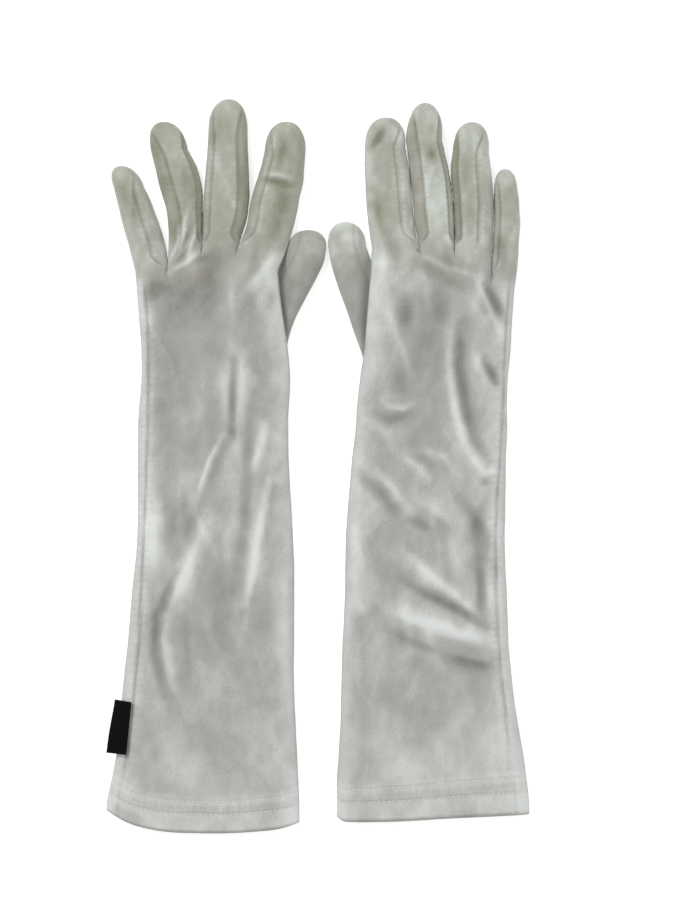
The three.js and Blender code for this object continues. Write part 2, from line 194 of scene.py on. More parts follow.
def weave(name: str, patches: Iterable[Array], tones: Optional[Iterable[Array]] = None) -> bpy.types.Object:
    """Makes one mesh of grids of points.

    Each grid is rows by columns by 3, in millimetres, and shows the side that its columns crossed with
    its rows point to. Grids that share an edge are joined there.

    Args:
        name: The piece's name.
        patches: The grids.
        tones: The tone at each point of each grid, from -1 to 1: painted shade and painted light, with the
            nap's random tone.

    Returns:
        The new object, at the origin.
    """
    points, faces, shades, first = [], [], [], 0
    patches = list(patches)
    tones = list(tones) if tones is not None else [np.zeros(p.shape[:2]) for p in patches]
    for patch, tone in zip(patches, tones):
        rows, columns = patch.shape[:2]
        index = first + np.arange(rows * columns).reshape(rows, columns)
        quads = np.stack([index[:-1, :-1], index[:-1, 1:], index[1:, 1:], index[1:, :-1]], axis=-1)
        points.append(patch.reshape(-1, 3) * MM)
        shades.append(np.broadcast_to(tone, (rows, columns)).reshape(-1))
        faces.append(quads.reshape(-1, 4))
        first += rows * columns
    vertices, quads = np.concatenate(points), np.concatenate(faces)
    mesh = bpy.data.meshes.new(name)
    mesh.vertices.add(len(vertices))
    mesh.vertices.foreach_set("co", vertices.astype(np.float32).ravel())
    mesh.loops.add(quads.size)
    mesh.loops.foreach_set("vertex_index", quads.astype(np.int32).ravel())
    mesh.polygons.add(len(quads))
    mesh.polygons.foreach_set("loop_start", np.arange(0, quads.size, 4, dtype=np.int32))
    mesh.update(calc_edges=True)
    handled = ease(vertices[:, 1] / MM, *HANDLED)
    # The first attribute holds painted shade and painted light, with the nap's random tone.
    for kind, values in (("shade_and_nap_tone", np.concatenate(shades)), ("handled", handled)):
        attribute = mesh.attributes.new(kind, "FLOAT", "POINT")
        attribute.data.foreach_set("value", values.astype(np.float32))
    made = bmesh.new()
    made.from_mesh(mesh)
    bmesh.ops.remove_doubles(made, verts=made.verts, dist=MERGE)
    bmesh.ops.dissolve_degenerate(made, edges=made.edges, dist=1e-7)
    made.to_mesh(mesh)
    made.free()
    mesh.polygons.foreach_set("use_smooth", np.ones(len(mesh.polygons), bool))
    piece = bpy.data.objects.new(name, mesh)
    bpy.context.scene.collection.objects.link(piece)
    return piece


def share_normals(pieces: Sequence[bpy.types.Object]) -> None:
    """Gives pieces that meet edge to edge one normal at each shared point, so that no line shows there.

    The normals at points with the same place are added up and brought back to length 1.

    Args:
        pieces: The pieces that meet.
    """
    places, normals = [], []
    for piece in pieces:
        count = len(piece.data.vertices)
        co, no = np.empty(count * 3, np.float32), np.empty(count * 3, np.float32)
        piece.data.vertices.foreach_get("co", co)
        piece.data.vertex_normals.foreach_get("vector", no)
        places.append(co.reshape(-1, 3))
        normals.append(no.reshape(-1, 3))
    keys = np.round(np.concatenate(places) / (2 * MERGE)).astype(np.int64)
    _, group = np.unique(keys, axis=0, return_inverse=True)
    group = group.reshape(-1)
    total = np.zeros((group.max() + 1, 3))
    np.add.at(total, group, np.concatenate(normals))
    total = unit(total)
    first = 0
    for piece, place in zip(pieces, places):
        own = total[group[first : first + len(place)]]
        piece.data.normals_split_custom_set_from_vertices(own.tolist())
        first += len(place)


def stitch_row(
    name: str, path: Array, up: Array, pitch: float, size: tuple[float, float, float]
) -> bpy.types.Object:
    """A row of short stitches laid along a line on the cloth.

    Each stitch is an ellipsoid, six points round and five along, stretched along the line.

    Args:
        name: The piece's name.
        path: Points of the line, in millimetres.
        up: The cloth's outward direction at each point.
        pitch: Distance from one stitch to the next.
        size: Length, width and height of a stitch.

    Returns:
        The row as one mesh.
    """
    steps = np.linalg.norm(np.diff(path, axis=0), axis=1)
    run = np.concatenate([[0.0], np.cumsum(steps)])
    at = np.arange(pitch / 2, run[-1], pitch)

    def along(places: Array, values: Array) -> Array:
        """The line's values at places along it."""
        return np.stack([np.interp(places, run, values[:, k]) for k in range(3)], axis=1)

    spot = along(at, path)
    forward = unit(along(at + 0.4, path) - along(at - 0.4, path))
    side = unit(np.cross(forward, along(at, up)))
    lift = np.cross(side, forward)
    turn = np.linspace(0.0, -2 * np.pi, 7)
    reach = np.linspace(0.0, np.pi, 6)
    shape = np.stack(
        [
            -np.cos(reach)[:, None] * np.ones(7) * size[0] / 2,
            np.sin(reach)[:, None] * np.cos(turn) * size[1] / 2,
            np.sin(reach)[:, None] * np.sin(turn) * size[2] / 2,
        ],
        axis=-1,
    )
    frames = np.stack([forward, side, lift], axis=1)
    patches = np.einsum("rck,nkd->nrcd", shape, frames) + spot[:, None, None, :]
    return weave(name, list(patches))


# ---- Finishes ----


class Socket:
    """A shader value that can be added to, scaled and compared like a number."""

    def __init__(self, tree: bpy.types.NodeTree, output: bpy.types.NodeSocket) -> None:
        """Wraps one output of a node."""
        self.tree = tree
        self.output = output

    def _math(self, operation: str, a: object, b: object = 0.0) -> "Socket":
        """One Math node with a and b on its inputs."""
        node = self.tree.nodes.new("ShaderNodeMath")
        node.operation = operation
        for slot, value in zip(node.inputs, (a, b)):
            if isinstance(value, Socket):
                self.tree.links.new(value.output, slot)
            else:
                slot.default_value = float(value)
        return Socket(self.tree, node.outputs[0])

    def __add__(self, other: object) -> "Socket":
        """Sum."""
        return self._math("ADD", self, other)

    def __radd__(self, other: object) -> "Socket":
        """Sum with a number on the left."""
        return self._math("ADD", other, self)

    def __sub__(self, other: object) -> "Socket":
        """Difference."""
        return self._math("SUBTRACT", self, other)

    def __rsub__(self, other: object) -> "Socket":
        """Difference from a number on the left."""
        return self._math("SUBTRACT", other, self)

    def __mul__(self, other: object) -> "Socket":
        """Product."""
        return self._math("MULTIPLY", self, other)

    def __rmul__(self, other: object) -> "Socket":
        """Product with a number on the left."""
        return self._math("MULTIPLY", other, self)

    def within(self) -> "Socket":
        """The value held between 0 and 1."""
        return self._math("MINIMUM", self._math("MAXIMUM", self, 0.0), 1.0)


class Finish:
    """The node tree of one material, with its Principled shader ready to be fed."""

    def __init__(self, name: str, constants: dict[str, object]) -> None:
        """Starts a material.

        Args:
            name: The material's name.
            constants: Values for the shader's own sockets.
        """
        self.material = bpy.data.materials.new(name)
        self.material.use_nodes = True
        self.tree = self.material.node_tree
        self.shader = self.tree.nodes["Principled BSDF"]
        for socket, value in constants.items():
            self.shader.inputs[socket].default_value = value
        self.coordinates = self.tree.nodes.new("ShaderNodeTexCoord")

    def node(
        self, kind: str, output: object = 0, settings: Optional[dict] = None, **inputs: object
    ) -> Socket:
        """Adds a node.

        Args:
            kind: The node's type.
            output: Name or number of the output to give back.
            settings: Values of the node's own properties.
            **inputs: Values or sockets by input name, with an underscore for each space.

        Returns:
            The chosen output.
        """
        node = self.tree.nodes.new(kind)
        for key, value in (settings or {}).items():
            setattr(node, key, value)
        for key, value in inputs.items():
            slot = node.inputs[key.replace("_", " ")]
            if isinstance(value, Socket):
                self.tree.links.new(value.output, slot)
            else:
                slot.default_value = value
        return Socket(self.tree, node.outputs[output])

    def place(self, stretch: tuple[float, float, float] = (1.0, 1.0, 1.0)) -> Socket:
        """Object coordinates in millimetres, divided by a stretch along each axis."""
        scale = tuple(1000.0 / s for s in stretch)
        spot = Socket(self.tree, self.coordinates.outputs["Object"])
        return self.node("ShaderNodeMapping", Vector=spot, Scale=scale)

    def noise(
        self, size: float, detail: float = 2.0, stretch: tuple[float, float, float] = (1.0, 1.0, 1.0)
    ) -> Socket:
        """Soft random values about 0.5, with patches of about the given size in millimetres."""
        spot, scale = self.place(stretch), 1.0 / size
        return self.node("ShaderNodeTexNoise", "Fac", Vector=spot, Scale=scale, Detail=detail, Roughness=0.55)

    def colours(self, amount: Socket, stops: Sequence[tuple[float, Sequence[float]]]) -> Socket:
        """Turns a value into a colour.

        Args:
            amount: The value, from 0 to 1.
            stops: Pairs of place and linear red, green and blue.

        Returns:
            The colour.
        """
        node = self.tree.nodes.new("ShaderNodeValToRGB")
        ramp = node.color_ramp
        while len(ramp.elements) < len(stops):
            ramp.elements.new(0.5)
        for element, (place, colour) in zip(ramp.elements, stops):
            element.position = place
            element.color = (*colour, 1.0)
        self.tree.links.new(amount.output, node.inputs["Fac"])
        return Socket(self.tree, node.outputs["Color"])

    def feed(self, name: str, value: Socket) -> None:
        """Links a value or colour to one of the shader's inputs."""
        self.tree.links.new(value.output, self.shader.inputs[name])

    def bump(self, height: Socket, strength: float, distance: float) -> None:
        """Tilts the surface by a height; distance is in millimetres."""
        tilt = self.node("ShaderNodeBump", "Normal", Height=height, Strength=strength, Distance=distance * MM)
        self.feed("Normal", tilt)


@dataclass(frozen=True)
class Velour:
    """Ivory-grey stretch velour: short dense pile, dull face on and pale where it turns away, partly by its
    sheen and partly by painted light.
    """

    # Colours of painted shade, of the plain cloth and of painted light, at tone -1, 0 and 1.
    valley: tuple[float, float, float] = (0.201, 0.197, 0.178)
    face: tuple[float, float, float] = (0.35, 0.348, 0.327)
    crest: tuple[float, float, float] = (0.598, 0.618, 0.598)
    sheen: float = 0.45

    def material(self) -> bpy.types.Material:
        """Pile whose painted shade and painted light follow the folds, seams and sides, with brushed patches
        and single tufts.
        """
        made = Finish(
            "velour",
            {"Sheen Weight": self.sheen, "Sheen Roughness": 0.4, "Sheen Tint": (1, 1, 0.98, 1), "IOR": 1.35},
        )
        # This attribute holds painted shade and painted light, with the nap's random tone.
        tone = made.node("ShaderNodeAttribute", "Fac", {"attribute_name": "shade_and_nap_tone"})
        brushed = made.noise(26.0, 3.0, (0.8, 1.3, 1.0)) - 0.5
        streaks = made.noise(5.0, 4.0, (1.0, 1.7, 1.0)) - 0.5
        tufts = made.noise(0.75, 2.0) - 0.5
        pile = made.noise(0.32, 1.0)
        amount = (0.5 + 0.5 * tone + 0.32 * brushed + 0.29 * streaks + 0.38 * tufts).within()
        plain = made.colours(amount, ((0.0, self.valley), (0.5, self.face), (1.0, self.crest)))
        handled = made.node("ShaderNodeAttribute", "Fac", {"attribute_name": "handled"})
        hue, richer = 0.5 + 0.03 * handled, 1.0 + 1.3 * handled
        warm = made.node("ShaderNodeHueSaturation", "Color", Color=plain, Hue=hue, Saturation=richer)
        made.feed("Base Color", warm)
        made.feed("Roughness", (0.9 - 0.18 * amount).within())
        made.bump(pile + 0.9 * tufts, 0.55, 0.22)
        return made.material


@dataclass(frozen=True)
class Thread:
    """Spun polyester sewing thread, a little lighter than the cloth."""

    dark: tuple[float, float, float] = (0.45, 0.45, 0.42)
    light: tuple[float, float, float] = (0.75, 0.75, 0.71)

    def material(self) -> bpy.types.Material:
        """Fine twisted fibres."""
        made = Finish("thread", {"Sheen Weight": 0.2, "IOR": 1.4})
        fibres = made.noise(0.3, 3.0, (1.0, 2.5, 1.0))
        made.feed("Base Color", made.colours(fibres, ((0.25, self.dark), (0.8, self.light))))
        made.feed("Roughness", 0.55 + 0.2 * fibres)
        made.bump(fibres, 0.5, 0.1)
        return made.material


@dataclass(frozen=True)
class WovenTab:
    """Black satin ribbon of a blank label, with its fine cross ribs."""

    black: tuple[float, float, float] = (0.002, 0.002, 0.0025)
    worn_and_unshaded: tuple[float, float, float] = (0.008, 0.008, 0.0085)

    def material(self) -> bpy.types.Material:
        """Ribs at 0.4 mm with a soft uneven shine."""
        made = Finish("woven_label", {"IOR": 1.12})
        ribs = made.node(
            "ShaderNodeTexWave",
            "Fac",
            {"bands_direction": "Y"},
            Vector=made.place(),
            Scale=0.8,
            Distortion=0.6,
            Detail=1.0,
        )
        dust = made.noise(1.2, 3.0)
        amount = (0.7 * dust + 0.25 * ribs).within()
        made.feed("Base Color", made.colours(amount, ((0.3, self.black), (1.0, self.worn_and_unshaded))))
        made.feed("Roughness", 0.6 + 0.2 * dust)
        made.bump(ribs + 0.4 * dust, 0.4, 0.08)
        return made.material


# ---- Gloves ----

ROUND = 0.8  # exponent of every section: 1 is an ellipse and less is boxier
FINGER_HEIGHT = 11.2
FINGER_WAIST = 4.7
TOP_COLUMNS = 26
UNDER_COLUMNS = 12
KNUCKLE_Y = 131.4
UPPER_ROW = 19.5  # of stitches, above the hem's edge
LOWER_ROW = 12.0
HEM_PITCH, HEM_STITCH = 3.0, (2.6, 0.75, 0.4)
SEAM_PITCH, SEAM_STITCH = 2.4, (2.0, 0.4, 0.3)
SEAM_SPAN = (-190.0, 112.0)  # the side seam's stitches, along Y
CROTCH_BLEND = 8.0  # length over which the trank turns into the fingers' sections
GROOVE, ROLL_AT, ROLL = 0.95, 2.3, 1.3  # a fourchette's seam, and how far off and wide its puckered roll is
SEAM_GROOVE, SEAM_ROLL_AT, SEAM_ROLL = 0.75, 2.6, 1.6  # the same of the side seam
THUMB_GROOVE, ROW_GROOVE = 0.9, 0.8
FINGER_PUCKER, SEAM_PUCKER, HEM_PUCKER = 3.6, 4.2, 3.3  # lengths of one pucker
THUMB_LIFT = 6.5  # how far the thumb's root raises the hand
SEAM_ANGLE = 0.55  # of the little finger's outer seam round its section
UNDER_SHARE = 0.55  # of a fourchette's inset, underneath
FOURCHETTE_COLUMNS = 20
TRANK_ROWS = 296
WAIST = 0.42  # height of a section's widest line, as a share of its own
UNDER_CURVE = 1.3  # exponent of a section's underside
TIP_CURVE = 2.3  # exponent of a tip's outline: 2 is an ellipse and more is blunter
CORE = 0.3  # height that a section draws in towards at a tip, as a share of its own
TRANK_HEIGHTS = ((-222, 9.5), (-190, 11.3), (-100, 12.2), (25, 11.6), (90, 12.6), (132, 11.8))  # (y, height)


def across(angle: Array) -> Array:
    """Place across a section, from -1 to 1, at an angle that runs from the left edge over the top."""
    turn = np.cos(angle)
    return -np.sign(turn) * np.abs(turn) ** ROUND


def risen(angle: Array, power: float = ROUND) -> Array:
    """How far a section has risen from its widest line at an angle, from 0 to 1."""
    return np.abs(np.sin(angle)) ** power


def puffed(angle: Array, height: Array, waist: Array, narrow: Array) -> tuple[Array, Array, Array]:
    """Section of a flattened finger or thumb that lies on the table.

    Its back rises from the waist to the height, its underside falls as waist (1 - rise)^1.3, and it draws
    in towards its core as it narrows.

    Args:
        angle: Place round the section.
        height: Full height.
        waist: Height of the widest line.
        narrow: Share of the full width that is left, 0 at the very tip.

    Returns:
        Height above the table, the rise over the waist from 0 to 1, and whether the point is on top.
    """
    rise = risen(angle)
    over = np.sin(angle) >= -1e-9
    form = np.where(over, waist + (height - waist) * rise, waist * (1.0 - rise) ** UNDER_CURVE)
    low = height * CORE
    return low + (form - low) * (0.12 + 0.88 * narrow), rise, over


def rim_light(rise: Array, over: Array, near: Array) -> Array:
    """Painted light and shade towards a finger's sides.

    A painted sheen where the finger turns away, 0.4(1 - rise)^1.5, painted shade on its very side, and a
    painted highlight on the puckers at its root.
    """
    turned = np.clip(1.0 - rise, 0.0, 1.0) ** 1.5
    puckers = near * over * bell(rise, 0.4)
    return 0.4 * turned - 0.7 * (1.0 - ease(rise, 0.0, 0.5)) * (1.0 - near) + 0.75 * puckers


def edge_angle(inset: Array, half: Array) -> Array:
    """Angle at which a section has come in from its edge by an inset, where half is its half width."""
    return np.arccos(np.clip(1.0 - inset / half, 0.05, 1.0) ** (1.0 / ROUND))


@dataclass
class Finger:
    """One finger: a back and palm panel in one, and a fourchette on each side that faces a neighbour."""

    name: str
    edges: Table  # rows of (y, left, right)
    tip: tuple[float, float]
    start: tuple[float, float]  # y of its root at its left and right edge
    seams: dict[Edge, tuple[float, float]]  # each fourchette's seam: its inset, and the strip's tone: painted shade from the neighbouring finger when below 0, painted light when above 0
    seed: float
    tone: float = 0.0
    height: float = FINGER_HEIGHT
    waist: float = FINGER_WAIST
    rows: int = 78
    tip_rows: int = 16

    def sides(self, y: Array) -> tuple[Array, Array]:
        """Left and right edge at y."""
        table = np.array(self.edges, float)
        return curve(y, table[:, [0, 1]]), curve(y, table[:, [0, 2]])

    def shares(self) -> tuple[Array, Array]:
        """How far each row is along the straight part and then round the tip, both from 0 to 1."""
        straight = np.linspace(0.0, 1.0, self.rows)
        round_it = np.sin(np.linspace(0.0, np.pi / 2, self.tip_rows + 1))[1:]
        body = np.concatenate([straight, np.ones(self.tip_rows)])
        return body[:, None], np.concatenate([np.zeros(self.rows), round_it])[:, None]

    def stations(self, root: Array) -> tuple[Array, Array, Array]:
        """y of each row from a root's y to the tip, and the left and right edge there."""
        body, round_it = self.shares()
        end = self.edges[-1][0]
        y = root + (end - root) * body + (self.tip[1] - end) * round_it
        return y, *self.sides(np.minimum(y, end))

    def section(self, angle: Array) -> tuple[Array, Array, Array, Array]:
        """Points of the finger's plain form.

        Rows of sections between the two edges, drawn in to the tip as (1 - q^2.3)^(1/2.3).

        Args:
            angle: Rows by columns of angles.

        Returns:
            x, y and z, and the rise over the widest line from 0 to 1, negative underneath.
        """
        _, round_it = self.shares()
        share = (across(angle) + 1.0) / 2.0
        y, left, right = self.stations(self.start[0] + (self.start[1] - self.start[0]) * share)
        narrow = (1.0 - round_it**TIP_CURVE) ** (1.0 / TIP_CURVE)
        middle = (left + right) / 2.0
        middle = middle + (self.tip[0] - middle) * round_it
        x = middle + (right - left) / 2.0 * narrow * across(angle)
        z, rise, over = puffed(angle, self.height, self.waist, narrow)
        return x, y, z, np.where(over, rise, -rise)

    def seam_angle(self, edge: Edge, share: float) -> Array:
        """Angle of a fourchette's seam at each row, by a share of its inset; 0 is the finger's edge."""
        root = self.start[0] if edge is Edge.LEFT else self.start[1]
        y, left, right = self.stations(root)
        opening = ease(y - root, 0.0, 9.5) * (1.0 - ease(y - self.tip[1], -34.0, 2.0) ** 2)
        inset = self.seams.get(edge, (0.0, 0.0))[0] * share * opening
        return edge_angle(inset, (right - left) / 2.0)

    def patch(
        self, start: Array, end: Array, columns: int, seamed: tuple[bool, bool], relief: Callable
    ) -> tuple[Array, Array]:
        """One strip of the finger between two lines along it.

        Plain form, plus the cloth's relief on top, minus a groove exp(-(s/GROOVE)^2) at each seam, where s
        is the distance along the cloth, with a puckered roll beside it.

        Args:
            start: Angle of the first line at each row.
            end: Angle of the last line at each row.
            columns: Number of strips of faces across.
            seamed: Whether the first and the last line are sewn.
            relief: Gives the glove's height and tone at x and y.

        Returns:
            The grid of points and its tone: painted shade and light of the relief, seams and sides, with the
                nap's random mottle.
        """
        t = np.linspace(0.0, 1.0, columns + 1)[None, :]
        x, y, z, rise = self.section(start + (end - start) * t)
        _, round_it = self.shares()
        height, tone = relief(x, y)
        cover = np.clip(rise, 0.0, 1.0) ** 1.5 * (1.0 - 0.8 * round_it**2)
        z = z + height * cover
        away = ease(y - max(self.start), 0.0, 12.0)
        left, right = self.sides(np.minimum(y, self.edges[-1][0]))
        hub = (left + right) / 2.0 + (self.tip[0] - (left + right) / 2.0) * round_it
        dx, dz = hub - x, self.height * WAIST - z
        span = np.maximum(np.hypot(dx, dz), 0.5)
        lumps = 0.24 * ripple(x + 3 * z, y, (9.0, 8.0), self.seed)
        lumps = lumps + 0.12 * ripple(x + 2 * z, y, (3.5, 5.0), self.seed + 3)
        run = np.zeros_like(x)
        run[:, 1:] = np.cumsum(np.hypot(np.diff(x, axis=1), np.diff(z, axis=1)), axis=1)
        sink = -lumps * away * (1.0 - round_it**4)
        shade = tone * cover
        for sewn, distance in ((seamed[0], run), (seamed[1], run[:, -1:] - run)):
            if not sewn:
                continue
            active = self._open(y)
            uneven = 2.0 * ripple(x * 0, y, (9.0, 7.0), self.seed + 9)
            pucker = 0.5 + 0.5 * np.sin(y * 2 * np.pi / FINGER_PUCKER + uneven)
            groove = bell(distance, GROOVE)
            roll = bell(distance - ROLL_AT, ROLL)
            sink = sink + active * (0.7 * groove - 0.26 * roll * (0.5 + 0.6 * pucker))
            # Painted shade in the seam's groove and painted highlights on its puckered roll.
            shade = shade + active * (-0.4 * groove + 0.2 * roll * pucker)
        x = x + dx / span * sink
        z = np.maximum(z + dz / span * sink, 0.02)
        mottle = 0.24 * ripple(x + z, y, (7.0, 15.0), self.seed + 5)
        mottle = mottle + 0.16 * ripple(x - z, y, (3.0, 5.0), self.seed + 6)
        edge_light = rim_light(np.abs(rise), rise > 0, 1.0 - away) + (self.tone + mottle) * away
        return np.stack([x, y, z], axis=-1), np.clip(shade + edge_light, -1.0, 1.0)

    def _open(self, y: Array) -> Array:
        """How far the fourchettes' seams have opened at y, from 0 at the root and near the tip to 1."""
        root = max(self.start)
        return ease(y - root, 0.0, 6.0) * (1.0 - ease(y - self.tip[1], -14.0, -1.0))

    def build(self, side: str, relief: Callable) -> dict[str, bpy.types.Object]:
        """Makes the finger's panel and its fourchettes.

        Args:
            side: The glove's side, for the pieces' names.
            relief: Gives the glove's height and tone at x and y.

        Returns:
            The pieces by part: panel, and fourchette_left or fourchette_right.
        """
        seams = {edge: edge in self.seams for edge in Edge}
        left, right = (self.seam_angle(edge, 1.0) for edge in Edge)
        low_left, low_right = (self.seam_angle(edge, UNDER_SHARE) for edge in Edge)
        sewn = (seams[Edge.LEFT], seams[Edge.RIGHT])
        over = self.patch(left, np.pi - right, TOP_COLUMNS, sewn, relief)
        under = self.patch(np.pi + low_right, 2 * np.pi - low_left, UNDER_COLUMNS, sewn[::-1], relief)
        made = {"panel": weave(f"{side}_{self.name}_panel", (over[0], under[0]), (over[1], under[1]))}
        strips = {
            Edge.LEFT: (2 * np.pi - low_left, 2 * np.pi + left),
            Edge.RIGHT: (np.pi - right, np.pi + low_right),
        }
        for edge, (start, end) in strips.items():
            if seams[edge]:
                grid, tone = self.patch(start, end, FOURCHETTE_COLUMNS, (True, True), relief)
                name = f"fourchette_{edge.value}"
                # The strip's painted shade from its neighbour, and painted light where it lies above it.
                shade = np.clip(tone + self.seams[edge][1] * self._open(grid[..., 1]), -1.0, 1.0)
                made[name] = weave(f"{side}_{self.name}_{name}_strip", (grid,), (shade,))
        return made


@dataclass
class Thumb:
    """The set-in thumb: its root lies flat under the hand and its end comes out beside it."""

    edges: Table
    tip: tuple[float, float]
    seed: float
    fold_x: float
    tone: float = 0.0
    free_height: float = 10.4
    root_height: float = 5.9
    rows: int = 84
    tip_rows: int = 14

    def build(self, side: str, outward: float) -> bpy.types.Object:
        """A flattened tube that thickens as it leaves the hand, with one seam along its inner side.

        Args:
            side: The glove's side, for the piece's name.
            outward: 1 if the thumb points to +X, -1 if to -X.

        Returns:
            The thumb.
        """
        table = np.array(self.edges, float)
        end = table[-1, 0]
        y = np.linspace(table[0, 0], end, self.rows)
        round_it = np.sin(np.linspace(0.0, np.pi / 2, self.tip_rows + 1))[1:]
        shut = np.sin(np.linspace(0.0, np.pi / 2, 7))[:-1]
        y = np.concatenate([table[0, 0] - 3.0 + 3.0 * shut, y, end + (self.tip[1] - end) * round_it])[:, None]
        opened = np.sqrt(1 - (1 - shut) ** 2) * 0.98 + 0.02
        closing = np.concatenate([opened, np.ones(self.rows), (1 - round_it**TIP_CURVE) ** (1 / TIP_CURVE)])
        closing[0] = 0.0
        closing = closing[:, None]
        lean = np.concatenate([np.zeros(6), np.zeros(self.rows), round_it])[:, None]
        angle = np.linspace(0.0, 2 * np.pi, 57)[None, :]
        held = np.clip(y, table[0, 0], end)
        left, right = curve(held, table[:, [0, 1]]), curve(held, table[:, [0, 2]])
        middle = (left + right) / 2.0
        middle = middle + (self.tip[0] - middle) * lean
        x = middle + (right - left) / 2.0 * closing * across(angle)
        free = ease((x - self.fold_x) * outward, -5.0, 5.0)
        height = self.root_height + (self.free_height - self.root_height) * free
        z, rise, over = puffed(angle, height, height * WAIST, closing)
        lumps = 0.35 * ripple(x + 2 * z, y, (11.0, 9.0), self.seed)
        lumps = lumps + 0.15 * ripple(x + z, y, (4.0, 4.0), self.seed + 2)
        seam = bell(x - middle + outward * (right - left) * 0.2, THUMB_GROOVE) * over
        z = z + (lumps * free - 0.7 * seam * free) * np.where(over, rise, 0.0) * closing
        z = np.maximum(z, 0.02)
        # The thumb's root under the hand gets painted shade, which fades out from y 104 to 140.
        worn_and_unshaded = ease(y, 104.0, 140.0)
        # Painted light on the lumps and painted shade between them, painted shade in the seam, and a painted
        # sheen at the sides.
        tone = 0.9 * lumps * free - 0.3 * seam + 0.35 * (1 - rise) ** 1.5
        tone = np.clip(tone + self.tone * worn_and_unshaded - 0.5 * (1 - worn_and_unshaded), -1, 1)
        grid = np.stack(np.broadcast_arrays(x, y, z), axis=-1).copy()
        return weave(f"{side}_thumb_tube", (grid,), (tone,))


